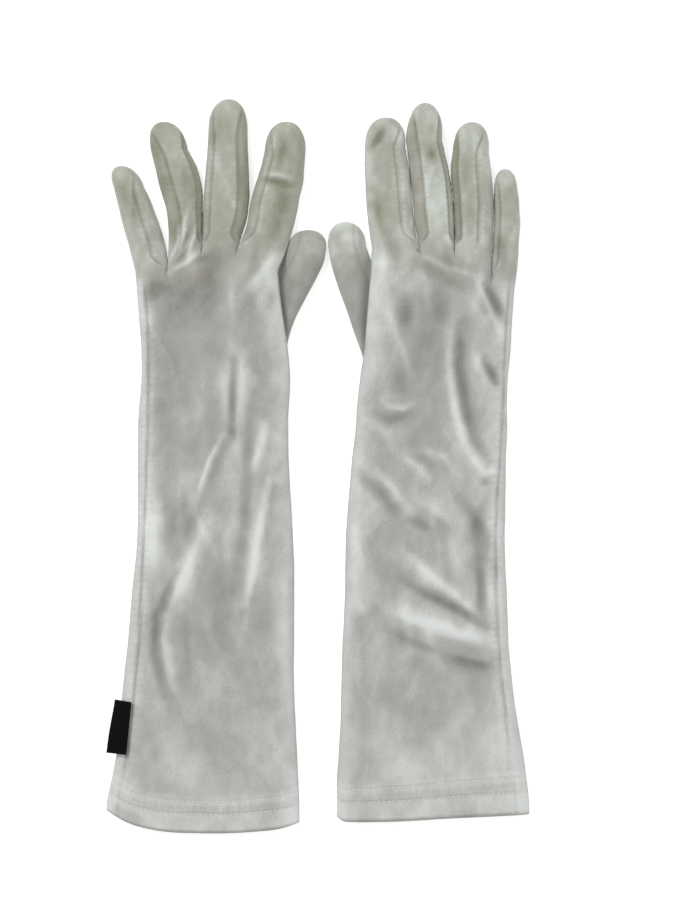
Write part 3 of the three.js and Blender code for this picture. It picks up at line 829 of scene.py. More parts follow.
@dataclass
class Glove:
    """One glove: trank, hem, fingers, thumb and stitching."""

    side: str
    outward: float  # the way the thumb points along X
    edges: Table
    rim: Table  # (across, y) of the hem's edge
    fingers: Sequence[Finger]
    thumb: Thumb
    seam: Table  # (y, x) of the side seam on the back
    folds: Sequence[Fold]
    seed: float
    hem_rise: float = 0.0  # share by which the hem is deeper at its right end than at its left
    cloth: float = 0.9
    hem_cloth: float = 2.1

    def relief(self, x: Array, y: Array) -> tuple[Array, Array]:
        """The cloth's hills, hollows and folds.

        Placed folds, plus random ones of four sizes that run more along the glove than across it and are
        lower near the hem.

        Args:
            x: Places across.
            y: Places along.

        Returns:
            Height in millimetres and the nap's tone from -1 to 1.
        """
        u = x + 5.0 * ripple(x, y, (21.0, 26.0), self.seed + 3)
        v = y + 8.0 * ripple(x, y, (19.0, 28.0), self.seed + 4)
        height = 0.45 * ripple(u, v, (24.0, 38.0), self.seed)
        creases = 1.0 - 2.0 * np.abs(ripple(u + 0.25 * v, v, (13.0, 30.0), self.seed + 1))
        height = height + 0.34 * np.maximum(creases, -0.2)
        height = height + 0.26 * ripple(u - 0.2 * v, v, (7.5, 12.0), self.seed + 7)
        height = height + 0.1 * ripple(u - 0.3 * v, v, (3.4, 5.5), self.seed + 2)
        height = height * (0.55 + 0.45 * ease(y, -150.0, -85.0))
        # Painted light on the hills and painted shade in the hollows.
        tone = 0.62 * height
        for fold in self.folds:
            shape = fold.shape(x, y)
            height = height + fold.height * shape
            # Each placed fold adds painted light on its ridge and painted shade in its valley.
            tone = tone + 0.5 * fold.tone * fold.height * shape
        return height, tone

    def raised(self, x: Array, y: Array) -> Array:
        """How far the thumb's root lifts the hand: a plateau with smooth sides."""
        along = ease(y, 30.0, 56.0) * (1.0 - ease(y, 120.0, KNUCKLE_Y - 1.0))
        start = self.thumb.fold_x - self.outward * 44.0
        full = self.thumb.fold_x - self.outward * 26.0
        return THUMB_LIFT * along * ease((x - start) * self.outward, 0.0, (full - start) * self.outward)

    def ends(self) -> tuple[float, float]:
        """Left edge of the first finger's root and right edge of the last one's."""
        first = self.fingers[0].section(np.zeros((1, 1)))[0][0, 0]
        last = self.fingers[-1].section(np.full((1, 1), np.pi))[0][0, 0]
        return float(first), float(last)

    def columns(self) -> tuple[Array, Array, Array, Array]:
        """Columns of the trank, taken from the fingers' roots so that they meet point to point.

        Returns:
            Share across from 0 to 1, y of the root, rise of the finger's section, and 1 on top or -1 under.
        """
        left_end, right_end = self.ends()
        parts = []
        for over, order in ((True, self.fingers), (False, list(self.fingers)[::-1])):
            for finger in order:
                count = TOP_COLUMNS if over else UNDER_COLUMNS
                angle = np.linspace(0.0, np.pi, count + 1) + (0.0 if over else np.pi)
                x, y, _, _ = finger.section(angle[None, :])
                keep = slice(0, -1)
                parts.append(
                    np.stack(
                        [
                            (x[0, keep] - left_end) / (right_end - left_end),
                            y[0, keep],
                            risen(angle)[keep],
                            np.full(count, 1.0 if over else -1.0),
                        ]
                    )
                )
        share, root, rise, way = np.concatenate(parts, axis=1)
        wrap = [*range(len(share)), 0]
        return share[wrap], root[wrap], rise[wrap], way[wrap]

    def tube(self, above: Callable, inset: Array) -> tuple[Array, Array]:
        """Points of the trank or hem.

        A flat-bottomed lens between the glove's two edges that turns into the fingers' four sections
        over its last 8 mm, with the relief, the side seam's groove and the hem's rows on it.

        Args:
            above: Gives each row's y from the columns' root y, hem y and depth of the hem as a factor.
            inset: How far inside the outer face each row is, as a column of rows.

        Returns:
            The grid of points and its tone: painted shade and light of the relief, seams, rows and sides,
                with random tone.
        """
        share, root, finger_rise, way = self.columns()
        left_end, right_end = self.ends()
        place = 2.0 * share - 1.0
        hem = curve(place, self.rim)
        deep = 1.0 + self.hem_rise * share[None, :]
        y = above(root[None, :], hem[None, :], deep)
        table = np.array(self.edges, float)
        left, right = curve(y, table[:, [0, 1]]) + inset, curve(y, table[:, [0, 2]]) - inset
        waver = 0.35 * ripple(y * 0, y, (10.0, 16.0), self.seed + 5) * (1.0 - ease(y, 105.0, 117.0))
        near = 1.0 - ease(root[None, :] - y, 0.0, CROTCH_BLEND)
        root_x = curve(root, table[:, [0, 1]]) * (1 - share) + curve(root, table[:, [0, 2]]) * share
        shift = (left_end + (right_end - left_end) * share - root_x)[None, :]
        shift = shift * (1.0 - ease(root[None, :] - y, 0.0, 25.0))
        x = left + waver + shift + (right - left) * share
        turn = np.clip(np.abs(place), 0.0, 1.0) ** (1.0 / ROUND)
        lens = np.sqrt(np.clip(1.0 - turn**2, 0.0, 1.0))
        near = near**1.4
        tall = curve(y, TRANK_HEIGHTS)
        waist = tall * WAIST
        top_lens = waist + (tall - waist) * lens**0.5 - inset
        low_lens = waist * (1.0 - lens**0.5) ** UNDER_CURVE + inset
        top_finger = FINGER_WAIST + (FINGER_HEIGHT - FINGER_WAIST) * finger_rise - inset * finger_rise
        low_finger = FINGER_WAIST * (1.0 - finger_rise) ** UNDER_CURVE + inset * finger_rise
        over = way[None, :] > 0
        above_waist = top_lens + (top_finger - top_lens) * near
        plain = np.where(over, above_waist, low_lens + (low_finger - low_lens) * near)
        height, tone = self.relief(x, y)
        inside = np.minimum(share, 1.0 - share)[None, :] * (right - left)
        cover = ease(inside, 0.3, 6.0)
        cover = cover + (finger_rise[None, :] ** 1.5 - cover) * near
        seam_x = curve(y, self.seam)
        off = np.abs(x - seam_x)
        from_edge = (y - hem[None, :]) / deep
        sewn = over * (1.0 - ease(y, 104.0, 115.0)) * (0.4 + 0.6 * ease(from_edge, 16.0, 56.0))
        uneven = 2.5 * ripple(y * 0, y, (9.0, 9.0), self.seed + 8)
        pucker = 0.5 + 0.5 * np.sin(y * 2 * np.pi / SEAM_PUCKER + uneven)
        groove, roll = bell(off, SEAM_GROOVE), bell(off - SEAM_ROLL_AT, SEAM_ROLL)
        height = height + sewn * (0.42 * roll * (0.4 + 0.9 * pucker))
        rows = sum(bell(from_edge - row, ROW_GROOVE) for row in (UPPER_ROW, LOWER_ROW))
        tunnel = bell(from_edge - (UPPER_ROW + LOWER_ROW) / 2, 2.6)
        tight = np.sin(x * 2 * np.pi / HEM_PUCKER + 2.0 * ripple(x, x * 0, (8.0, 9.0), self.seed + 6))
        tight = 0.5 + 0.5 * tight
        height = height + 0.3 * tunnel * (0.5 + 0.6 * tight)
        sunk = 0.75 * rows * (0.7 + 0.3 * tight) + 1.0 * groove * sewn
        rolled = 1.4 * (1.0 - ease(from_edge, 0.0, 2.4))
        z = plain + np.where(over, height * cover - sunk * np.minimum(1.0, cover + 0.3), 0.35 * rows)
        middle = tall / 2.0
        z = z + (middle - z) * np.clip(rolled, 0, 1) * 0.25
        lift = self.raised(x, y)
        z = z + lift * (1.0 - np.clip(z, 0.0, 2 * tall) / (2 * tall))
        # Underneath: a weak copy of the relief's painted shade and light, with random tone.
        palm_side = 0.3 * tone + 0.6 * ripple(x + 400.0, y, (15.0, 24.0), self.seed + 12)
        # Painted highlights on the side seam's puckers and painted shade in its groove.
        shade = np.where(over, tone, palm_side) * cover + over * sewn * (0.16 * roll * pucker - 0.62 * groove)
        pale = 0.16 * (1.0 - ease(from_edge, 22.0, 44.0))
        # Painted highlights on the hem's puckers, a darker band between the rows, and painted shade in the
        # rows' grooves.
        shade = shade + over * (0.14 * tunnel * tight - 0.3 * tunnel - 0.3 * rows + pale)
        shade = shade + 0.3 * over * (1.0 - ease(from_edge, UPPER_ROW, UPPER_ROW + 5))
        # Painted sheen near the sides, where the cloth turns away.
        shade = shade + 0.5 * (1.0 - ease(inside, 0.0, 17.0)) * (1.0 - near)
        # Painted shade along the hem's edge.
        shade = shade - 0.9 * (1.0 - ease(from_edge, 0.0, 2.6))
        # Painted shade on the very side.
        shade = shade - 0.6 * (1.0 - ease(inside, 0.0, 0.8)) * (1.0 - near)
        # Painted light and shade of the fingers' sides at their roots.
        shade = shade + near * rim_light(finger_rise[None, :], over, near)
        grid = np.stack(np.broadcast_arrays(x, y, np.maximum(z, 0.02)), axis=-1).copy()
        return grid, np.clip(shade, -1.0, 1.0)

    def build_trank(self) -> bpy.types.Object:
        """The sleeve and hand in one: an outer face, an inner face inside it, and both ends closed."""

        def rows(share: Array) -> Callable:
            """Row places from the upper row of stitches, at 0, to the fingers' roots, at 1."""
            return lambda root, hem, deep: hem + UPPER_ROW * deep + (root - hem - UPPER_ROW * deep) * share

        fine, coarse = np.linspace(0.0, 1.0, TRANK_ROWS)[:, None], np.linspace(0.0, 1.0, 75)[:, None]
        outer, tone = self.tube(rows(fine), np.zeros((1, 1)))
        inner, _ = self.tube(rows(coarse), np.full((1, 1), self.cloth))
        inner = inner[:, ::-1]
        tuck = np.array([0.0, 0.012, 0.0])
        ends = [
            np.stack([outer[0][::-1] + tuck, inner[0]])[:, ::-1],
            np.stack([outer[-1] - tuck, inner[-1][::-1]]),
        ]
        # The inner face is darker: painted shade inside the glove.
        dim = np.full(inner.shape[:2], -0.6)
        tones = (tone, dim, tone[:1].repeat(2, 0), tone[-1:].repeat(2, 0))
        return weave(f"{self.side}_trank", (outer, inner, *ends), tones)

    def build_hem(self) -> bpy.types.Object:
        """The turned hem: an outer layer down to the edge, round it, and the turned-up layer inside."""
        down = np.linspace(UPPER_ROW, 0.9, 27)
        bend = np.linspace(0.0, np.pi, 9)[1:-1]
        up = np.linspace(0.9, UPPER_ROW, 12)
        half = self.hem_cloth / 2.0
        height = np.concatenate([down, 0.9 - 0.9 * np.sin(bend), up])[:, None]
        inset = np.concatenate([down * 0, half * (1 - np.cos(bend)), up * 0 + self.hem_cloth])[:, None]
        grid, tone = self.tube(lambda root, hem, deep: hem + height * deep, inset)
        # The turned-up layer inside is darker: painted shade.
        tone = tone + np.where(inset > half, -0.3, 0.0)
        closed, closed_tone = np.stack([grid[0], grid[-1]]), np.stack([tone[0], tone[-1]])
        return weave(f"{self.side}_hem_fold", (grid[::-1], closed), (tone[::-1], closed_tone))

    def hem_line(self, height: float, over: bool) -> tuple[Array, Array]:
        """Path of a row of stitches at a height above the hem's edge, and the cloth's direction there."""
        grid, _ = self.tube(lambda root, hem, deep: hem + height * deep, np.zeros((1, 1)))
        way = self.columns()[3]
        keep = (way > 0) == over
        path = grid[0][keep]
        path = path[np.argsort(path[:, 0])][3:-3]
        up = np.tile((0.0, 0.0, 1.0 if over else -1.0), (len(path), 1))
        return path + up * 0.06, up

    def seam_line(self, start: float, end: float) -> tuple[Array, Array]:
        """Path of the side seam between two places along the glove, and the cloth's direction there."""
        share = np.linspace(0.0, 1.0, TRANK_ROWS)[:, None]

        def above(root: Array, hem: Array, _: Array) -> Array:
            """Row places from the upper row of stitches to the fingers' roots."""
            return hem + UPPER_ROW + (root - hem - UPPER_ROW) * share

        grid, _ = self.tube(above, np.zeros((1, 1)))
        y = np.arange(start, end, 1.0)
        x = curve(y, self.seam)
        over = self.columns()[3] > 0
        top = grid[:, over]
        nearest = np.argmin(np.abs(top[:, :, 0] - curve(top[:, :, 1], self.seam)), axis=1)
        line = top[np.arange(len(top)), nearest]
        order = np.argsort(line[:, 1])
        z = np.interp(y, line[order, 1], line[order, 2])
        path = np.stack([x, y, z - 0.07], axis=1)
        return path, np.tile((0.0, 0.0, 1.0), (len(y), 1))

    def build(self, cloth: bpy.types.Material, thread: bpy.types.Material) -> None:
        """Makes every piece of the glove, dresses it, hides the frame's nodes that it stands for, and ties
        the hem and its stitches to the forearm's body.
        """
        side = self.side
        trank, hem = self.build_trank(), self.build_hem()
        made = {finger.name: finger.build(side, self.relief) for finger in self.fingers}
        thumb = self.thumb.build(side, self.outward)
        share_normals([trank, hem, *(parts["panel"] for parts in made.values())])
        x = (self.edges[0][1] + self.edges[0][2]) / 2.0 * MM
        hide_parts(f"{side}_sleeve", f"{side}_hand")
        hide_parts(f"{side}_hem")
        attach(hem, f"{side}_forearm")
        seam = stitch_row(f"{side}_side_seam", *self.seam_line(*SEAM_SPAN), SEAM_PITCH, SEAM_STITCH)
        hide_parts(f"{side}_sleeve_seam", f"{side}_hand_seam")
        for piece in (trank, seam):
            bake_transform(piece)
        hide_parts(f"{side}_thumb", f"{side}_thumb_root")
        fold = self.thumb.fold_x
        (fold - 1.0 * self.outward) * MM
        (fold + 8.0 * self.outward) * MM
        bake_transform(thumb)
        cloth_pieces = [trank, hem, thumb]
        for finger in self.fingers:
            for part, piece in made[finger.name].items():
                node = f"{side}_{finger.name}_" + ("finger" if part == "panel" else part)
                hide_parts(node)
                self.join_finger(piece)
                cloth_pieces.append(piece)
        stitches = [seam]
        for row, height in (("upper", UPPER_ROW), ("lower", LOWER_ROW)):
            for over in (True, False):
                name = f"{side}_hem_stitches_{row}_" + ("back" if over else "palm")
                piece = stitch_row(name, *self.hem_line(height, over), HEM_PITCH, HEM_STITCH)
                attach(piece, f"{side}_forearm")
                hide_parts(f"{side}_hem_stitches_{row}")
                stitches.append(piece)
        stitches.append(self.little_seam())
        for piece in cloth_pieces:
            piece.data.materials.append(cloth)
        for piece in stitches:
            piece.data.materials.append(thread)
        for piece in (*cloth_pieces, *stitches):
            LOG.info("%s: %d faces", piece.name, len(piece.data.polygons))

    def little_seam(self) -> bpy.types.Object:
        """The side seam's last part, along the outer side of the little finger."""
        finger = self.fingers[0] if self.outward > 0 else self.fingers[-1]
        outer = SEAM_ANGLE if self.outward > 0 else np.pi - SEAM_ANGLE
        x, y, z, _ = finger.section(np.full((1, 1), outer))
        keep = slice(4, finger.rows + 6)
        path = np.stack([x[keep, 0], y[keep, 0], z[keep, 0] + 0.1], axis=1)
        up = np.tile((-self.outward * 0.6, 0.0, 0.8), (len(path), 1))
        piece = stitch_row(f"{self.side}_little_seam", path, up, SEAM_PITCH, SEAM_STITCH)
        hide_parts(f"{self.side}_little_finger_seam")
        self.join_finger(piece)
        return piece

    def join_finger(self, piece: bpy.types.Object) -> None:
        """Bakes a finger piece's place into its mesh."""
        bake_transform(piece)


# Each row holds a fold's path, its height and width, and if they aren't plain its lean and tone. The low ones
# with a strong tone are patches of painted shade and painted light with almost no relief, partly brushed nap.
LEFT_FOLDS = (
    (((-50.5, 64), (-51, 40), (-50.5, 17)), -1.5, 1.7, 0.0, 1.2), (((-45, 66), (-45.5, 34)), 1.3, 3.4, 0.3),
    (((-56, 60), (-56, 24)), 0.8, 3.0), (((-53, 24), (-50, 16)), -1.0, 2.6),
    (((-37, 60), (-30, 46)), -0.7, 3.4), (((-37, 34), (-28, 28)), -0.7, 2.6),
    (((-57, 19), (-65, 4), (-72, -17)), 1.6, 2.4, 0.4), (((-52, 20), (-60, 2), (-67, -18)), -0.9, 3.2),
    (((-77, 14), (-74, -6)), -0.7, 3.6), (((-30, 28), (-35, 8), (-41, -5)), 1.7, 3.0, -0.2),
    (((-29, -8), (-34, -36), (-38, -64), (-43, -82)), 2.0, 3.0, -0.3),
    (((-38, 44), (-41, 12), (-44, -40), (-50, -75)), -1.3, 3.2),
    (((-67, -28), (-74, -53), (-83, -72), (-90, -90)), 1.6, 4.4, 0.2),
    (((-74, -26), (-82, -48), (-88, -60)), -0.5, 3.0),
    (((-85, -64), (-97, -90), (-98, -112), (-91, -138)), -1.4, 2.9, 0.25, 1.2),
    (((-91, -90), (-92, -104), (-87, -128), (-77, -150)), 1.3, 4.0, 0.2),
    (((-79, -92), (-77, -130)), -0.5, 2.4, 0.0, 1.6), (((-99, -25), (-98, -66)), 1.0, 4.6),
    (((-88, -20), (-88, -50)), -0.8, 4.2), (((-14, -60), (-16, -128)), 0.6, 5.0),
    (((-30, -66), (-34, -108)), -0.25, 9.0, 0.0, 3.6), (((-60, -50), (-56, -110)), -0.7, 6.0),
    (((-24, 131), (-31, 119), (-45, 102)), 1.5, 3.8, 0.25), (((-40, 128), (-36, 116)), -0.8, 3.4),
    (((-24, 108), (-30, 92)), -0.9, 4.0), (((-92, 120), (-87, 127), (-83, 137)), 1.6, 1.6),
    (((-78, 126), (-74, 136), (-71, 147)), 1.4, 1.7), (((-82, 132), (-80, 144), (-75, 159)), 1.3, 2.2),
    (((-89, 117), (-78, 122), (-68, 132)), 1.6, 2.0), (((-85, 121), (-77, 131)), -1.2, 1.4),
    (((-81, 129), (-75, 144)), -1.2, 1.4), (((-87, 130), (-84, 148)), -0.8, 1.7),
    (((-74, 122), (-66, 126)), -1.0, 2.2), (((-33, 171.5), (-23, 170), (-13, 167)), -1.5, 1.9, 0.0, 1.4),
    (((-33, 175.5), (-23, 174.5), (-15, 172)), 1.2, 2.0), (((-33, 175), (-29, 185), (-26, 196)), 1.1, 2.0),
    (((-20, 201), (-21, 190), (-24, 179)), -0.8, 3.0, 0.0, 1.6), (((-14, 199), (-12.5, 182)), 0.7, 2.2),
    (((-21, 149), (-30, 134)), -0.5, 5.0, 0.0, 2.2), (((-22, 165), (-17, 150)), -0.9, 4.4, 0.0, 1.8),
    (((-77, 182), (-75, 158)), -0.45, 4.4, 0.0, 2.8), (((-62, 136), (-66, 94)), -0.5, 9.5, 0.0, 3.3),
    (((-44, 110), (-42, 70)), -0.3, 9.0, 0.0, 3.0), (((-98, 112), (-101, 98)), -0.8, 5.0, 0.0, 2.2),
    (((-115, 166), (-108, 148)), -0.5, 4.4, 0.0, 2.6), (((-91, 92), (-90, 40)), -0.22, 9.0, 0.0, 4.0),
    (((-96, 44), (-92, 20)), -0.5, 6.0, 0.0, 1.6), (((-52, 116), (-51, 88)), 0.7, 3.0),
    (((-34, -140), (-32, -184)), 0.22, 12.0, 0.0, 3.6), (((-103, -66), (-104, -96)), 0.2, 6.0, 0.0, 4.0),
    (((-104, 112), (-84, 106), (-74, 94)), -0.38, 12.0, 0.0, 4.4),
    (((-62, 78), (-61, 30), (-64, -20)), -0.27, 8.0, 0.0, 4.0),
    (((-104, 80), (-104, 30)), -0.2, 9.0, 0.0, 2.6), (((-98, -172), (-66, -187)), 0.22, 10.0, 0.0, 4.0),
    (((-80, -20), (-80, -44)), -0.25, 9.0, 0.0, 4.4), (((-96, -150), (-84, -180)), 0.5, 7.0),
    (((-125, -203), (-116, -208), (-104, -214)), -0.24, 5.0, 0.0, 5.0),
    (((-86, -120), (-80, -150)), -0.6, 6.0, 0.0, 1.5),
)


def left_glove() -> Glove:
    """The left glove as it lies: little finger to the left, thumb out to the right."""
    return Glove(
        side="left",
        outward=1.0,
        seed=1.0,
        edges=(
            (-220, -127.4, -11.2), (-200, -126.6, -11.4), (-188, -124.2, -12.0), (-176, -121.8, -12.6),
            (-140, -117.6, -13.8), (-116, -115.2, -14.4), (-68, -111.0, -14.4), (-44, -108.6, -15.0),
            (-20, -108.0, -16.2), (4, -108.0, -17.4), (28, -108.0, -18.0), (52, -106.2, -16.8),
            (76, -106.2, -18.6), (97, -107.8, -21.6), (110, -109.0, -23.2), (117.3, -109.8, -23.6),
            (125, -110.4, -20.6), (KNUCKLE_Y, -110.6, -18.6),
        ),
        rim=(
            (-1, -206.3), (-0.8, -212.8), (-0.5, -217.6), (0, -219.5), (0.5, -218.8), (0.85, -216.4),
            (1, -213.6),
        ),
        fingers=(
            Finger(
                "little",
                ((117.3, -109.8, -90.6), (125, -111.8, -90.4), (133.8, -113.8, -91.8), (144.6, -117.2, -95.1),
                 (155.4, -119.8, -98.8), (168, -122.6, -104.4)),
                (-118.0, 180.8),
                (117.3, 117.3),
                {Edge.RIGHT: (9.0, -0.05)},
                11.0,
                -0.02,
                rows=60,
            ),
            Finger(
                "ring",
                ((110, -90.8, -69.5), (117.3, -90.6, -69.5), (125, -90.2, -69.5), (KNUCKLE_Y, -89.8, -69.5),
                 (144.6, -89.9, -69.3), (155.4, -91.4, -69.4), (168, -94.9, -69.8), (180.6, -98.2, -73.0),
                 (191, -100.6, -78.4)),
                (-92.4, 207.4),
                (117.3, KNUCKLE_Y),
                {Edge.LEFT: (8.0, -0.3), Edge.RIGHT: (2.5, -0.6)},
                12.0,
                -0.3,
            ),
            Finger(
                "middle",
                ((KNUCKLE_Y, -69.5, -48.6), (139, -69.4, -45.9), (150.6, -69.1, -42.6), (160, -68.6, -41.4),
                 (184.2, -66.9, -41.7), (200, -66.1, -42.5)),
                (-53.6, 221.0),
                (KNUCKLE_Y, KNUCKLE_Y),
                {Edge.LEFT: (4.0, -0.15), Edge.RIGHT: (6.0, -0.55)},
                13.0,
                -0.2,
            ),
            Finger(
                "index",
                ((KNUCKLE_Y, -48.6, -18.6), (139, -45.0, -16.2), (150.6, -41.7, -13.2), (160, -40.4, -11.3),
                 (173.4, -36.3, -8.7), (187.8, -32.3, -7.5)),
                (-19.0, 207.5),
                (KNUCKLE_Y, KNUCKLE_Y),
                {Edge.LEFT: (6.0, -0.3)},
                14.0,
                -0.25,
            ),
        ),
        thumb=Thumb(
            ((58, -43.0, -25.0), (68, -45.0, -19.4), (76.2, -44.8, -17.9), (87, -42.0, -14.5),
             (101.4, -36.2, -7.3), (115.8, -29.0, 0.3), (123, -24.4, 3.5), (130, -19.2, 4.8)),
            (-5.6, 142.4),
            15.0,
            -17.2,
            -0.12,
        ),
        seam=(
            (-206, -120.4), (-188, -117.6), (-173, -114.6), (-139, -110.4), (-109, -107.4), (-70, -105.6),
            (0, -102.6), (58, -101.4), (90, -102.0), (118, -104.5),
        ),
        folds=[Fold(*row) for row in LEFT_FOLDS],
    )


# Rows as in LEFT_FOLDS: the low ones with a strong tone are patches of painted shade and painted light,
# partly brushed nap.
RIGHT_FOLDS = (
    (((52, 98), (52, 82)), -1.3, 4.6, 0.0, 1.4), (((43, 100), (43, 78)), 0.8, 3.6),
    (((60, 96), (60, 80)), 0.6, 3.4), (((48, 58), (49, 42)), -1.1, 5.2, 0.0, 1.3),
    (((37, 43), (43, 35.5), (51, 34.5), (59, 39)), 0.9, 2.0),
    (((86, 86), (84.6, 61), (88.8, 35), (93.6, 16), (103, 3)), -2.1, 3.0, 0.2),
    (((79, 86), (78, 60), (82, 33), (88, 12), (98, -4)), 1.9, 3.4),
    (((100, 64), (109, 47)), -1.7, 2.6, 0.0, 1.3), (((93, 68), (101, 50)), 1.1, 2.8),
    (((94, 4), (100, -4), (107, -2)), 1.3, 2.0), (((98, -9), (103, -10)), -1.0, 2.2),
    (((70, -16), (66, -26)), 0.3, 9.0, 0.0, 2.6), (((34, 32), (43, 28), (56, 31)), -1.4, 3.0, 0.0, 1.3),
    (((34, 24), (46, 20)), 0.5, 3.2), (((24, -4), (38, -16), (50, -33)), -1.4, 3.4, 0.0, 1.2),
    (((32, 0), (44, -12), (57, -28)), 1.1, 3.0), (((50, 6), (60, 0), (66, -8)), 1.1, 2.8),
    (((64, 10), (76, 6), (82, -4)), 1.0, 2.8), (((60, 6), (72, -2)), -0.9, 2.4),
    (((56, -32), (68, -38)), -1.1, 3.0, 0.0, 1.3), (((66, -24), (84, -34)), 0.8, 3.2),
    (((82, -14), (92, -28), (103, -46)), -1.2, 3.6), (((40, -50), (56, -62)), 0.7, 4.0),
    (((40, -84), (56, -91), (78, -98), (109, -107)), 3.0, 6.0, 0.2, 0.66),
    (((50, -68), (66, -77), (84, -86), (101, -96)), -2.0, 2.8, 0.2, 1.1),
    (((97, -56), (98, -88)), -1.6, 2.6, 0.0, 1.2), (((51, -50), (68, -66), (83, -77), (95, -89)), 1.7, 3.4),
    (((102, -60), (104, -84)), 0.8, 2.6), (((78, -114), (90, -117), (105, -120)), -1.9, 3.2, -0.2),
    (((42, -98), (56, -105), (74, -112)), -1.2, 2.6), (((60, -112), (56, -122)), -0.9, 4.4),
    (((95, -28), (97, -60)), -1.3, 4.6), (((79, -40), (84, -62)), 0.9, 4.2),
    (((40, 203), (36, 196), (31, 190)), -1.9, 2.4, 0.0, 1.5),
    (((34.5, 162), (37.5, 148), (44, 131), (47, 120)), -1.2, 3.8, 0.0, 1.5),
    (((68, 190), (69, 183)), -1.3, 2.6, 0.0, 1.4), (((66, 178), (68, 150)), 0.3, 3.0),
    (((90, 190), (91, 168)), -0.6, 4.4), (((76, 138), (84, 130.5)), 1.6, 2.0),
    (((75, 128), (81, 116)), -0.9, 3.0), (((57, 129), (77, 119), (98, 113)), 1.0, 2.3),
    (((60, 123), (76, 112), (92, 106)), -1.0, 4.0, 0.0, 1.4), (((97, 109), (102, 96), (108, 82)), 1.3, 2.4),
    (((100, 109), (106, 99), (112, 87)), -1.9, 2.8, 0.0, 1.3),
    (((110, 140), (109, 120)), -1.2, 3.6, 0.0, 1.5), (((60, 120), (68, 98)), 0.7, 5.4),
    (((98, 114), (94, 92)), 0.9, 4.2), (((70, 112), (72, 84)), -0.6, 6.0, 0.0, 2.2),
    (((30, -130), (60, -150)), -0.5, 6.0, 0.0, 1.5), (((90, -140), (70, -172)), 0.6, 7.0),
    (((102, -150), (110, -192)), 0.25, 13.0, 0.0, 5.0), (((74, -168), (90, -188)), 0.2, 9.0, 0.0, 3.4),
    (((106, -34), (108, -54)), 0.2, 5.0, 0.0, 4.0), (((30, -164), (64, -186)), 0.2, 12.0, 0.0, 4.4),
    (((27, 124), (26, 92)), -0.25, 7.0, 0.0, 3.8),
    (((64, 129), (82, 121), (99, 112)), -0.28, 8.0, 0.0, 3.6),
    (((101, 104), (105, 84)), -0.25, 7.0, 0.0, 3.4), (((112, -60), (110, -90)), 0.2, 7.0, 0.0, 3.6),
    (((40, 44), (56, 20), (78, 24)), -0.2, 9.0, 0.0, 2.6),
    (((79, 108), (81, 56), (88, 22)), -0.2, 8.5, 0.0, 3.6),
)


def right_glove() -> Glove:
    """The right glove as it lies: thumb out to the left, little finger to the right."""
    return Glove(
        side="right",
        outward=-1.0,
        seed=31.0,
        hem_rise=0.2,
        edges=(
            (-214, 11.2, 127.0), (-200, 11.4, 126.6), (-188, 11.4, 125.4), (-176, 12.0, 123.6),
            (-152, 13.2, 119.4), (-116, 14.4, 115.2), (-68, 16.2, 112.8), (-20, 18.0, 112.2),
            (4, 20.4, 112.8), (28, 22.8, 113.4), (52, 25.2, 114.0), (76, 28.2, 115.8), (94, 29.7, 117.0),
            (109, 30.9, 118.2), (115.2, 31.5, 119.3), (123, 31.9, 120.0), (KNUCKLE_Y, 32.2, 120.2),
        ),
        rim=(
            (-1, -210.4), (-0.95, -212.4), (-0.85, -212.9), (-0.6, -212.8), (-0.4, -212.5), (0.15, -210.7),
            (0.6, -209.5), (1, -208.6),
        ),
        fingers=(
            Finger(
                "index",
                ((KNUCKLE_Y, 32.2, 61.4), (139, 31.2, 59.15), (150.6, 29.7, 57.4), (166.2, 28.5, 56.1),
                 (180.6, 27.9, 54.5), (192, 28.0, 52.5)),
                (41.0, 210.0),
                (KNUCKLE_Y, KNUCKLE_Y),
                {Edge.RIGHT: (7.5, 0.1)},
                41.0,
                0.1,
            ),
            Finger(
                "middle",
                ((KNUCKLE_Y, 61.4, 81.8), (139, 59.6, 81.7), (150.6, 57.75, 81.35), (166.2, 56.45, 80.25),
                 (180.6, 54.9, 78.0), (196, 53.0, 74.4)),
                (64.5, 218.8),
                (KNUCKLE_Y, KNUCKLE_Y),
                {Edge.LEFT: (6.5, -0.5), Edge.RIGHT: (2.5, -0.5)},
                42.0,
                0.1,
            ),
            Finger(
                "ring",
                ((108, 82.0, 104.3), (115.2, 82.0, 104.3), (123, 82.0, 104.3), (KNUCKLE_Y, 81.8, 104.4),
                 (139, 82.0, 104.85), (150.6, 81.7, 105.45), (166.2, 80.6, 105.25), (180.6, 79.7, 103.6),
                 (190, 81.0, 102.6)),
                (92.6, 207.2),
                (KNUCKLE_Y, 115.2),
                {Edge.LEFT: (3.6, -0.8), Edge.RIGHT: (8.6, 0.05)},
                43.0,
                0.1,
            ),
            Finger(
                "little",
                ((115.2, 104.3, 119.3), (124, 104.6, 120.2), (133.8, 105.05, 120.5), (148, 105.75, 121.4),
                 (158.4, 105.8, 121.0), (166.2, 106.0, 119.8)),
                (112.4, 179.0),
                (115.2, 115.2),
                {Edge.LEFT: (3.0, -0.3)},
                44.0,
                0.15,
                rows=60,
            ),
        ),
        thumb=Thumb(
            ((50, 34.0, 50.0), (60, 28.6, 52.8), (68, 26.2, 53.3), (79.8, 21.9, 50.0), (94.2, 17.1, 44.6),
             (108.6, 11.8, 39.4), (123, 7.6, 32.5), (133, 6.0, 28.8)),
            (16.6, 147.2),
            45.0,
            26.9,
            0.4,
        ),
        seam=(
            (-200, 119.0), (-184, 115.8), (-152, 112.8), (-120, 109.2), (-88, 107.4), (-55, 106.6),
            (-19, 107.4), (16, 110.0), (50, 111.4), (80, 112.6), (116, 115.5),
        ),
        folds=[Fold(*row) for row in RIGHT_FOLDS],
    )


# ---- Label ----


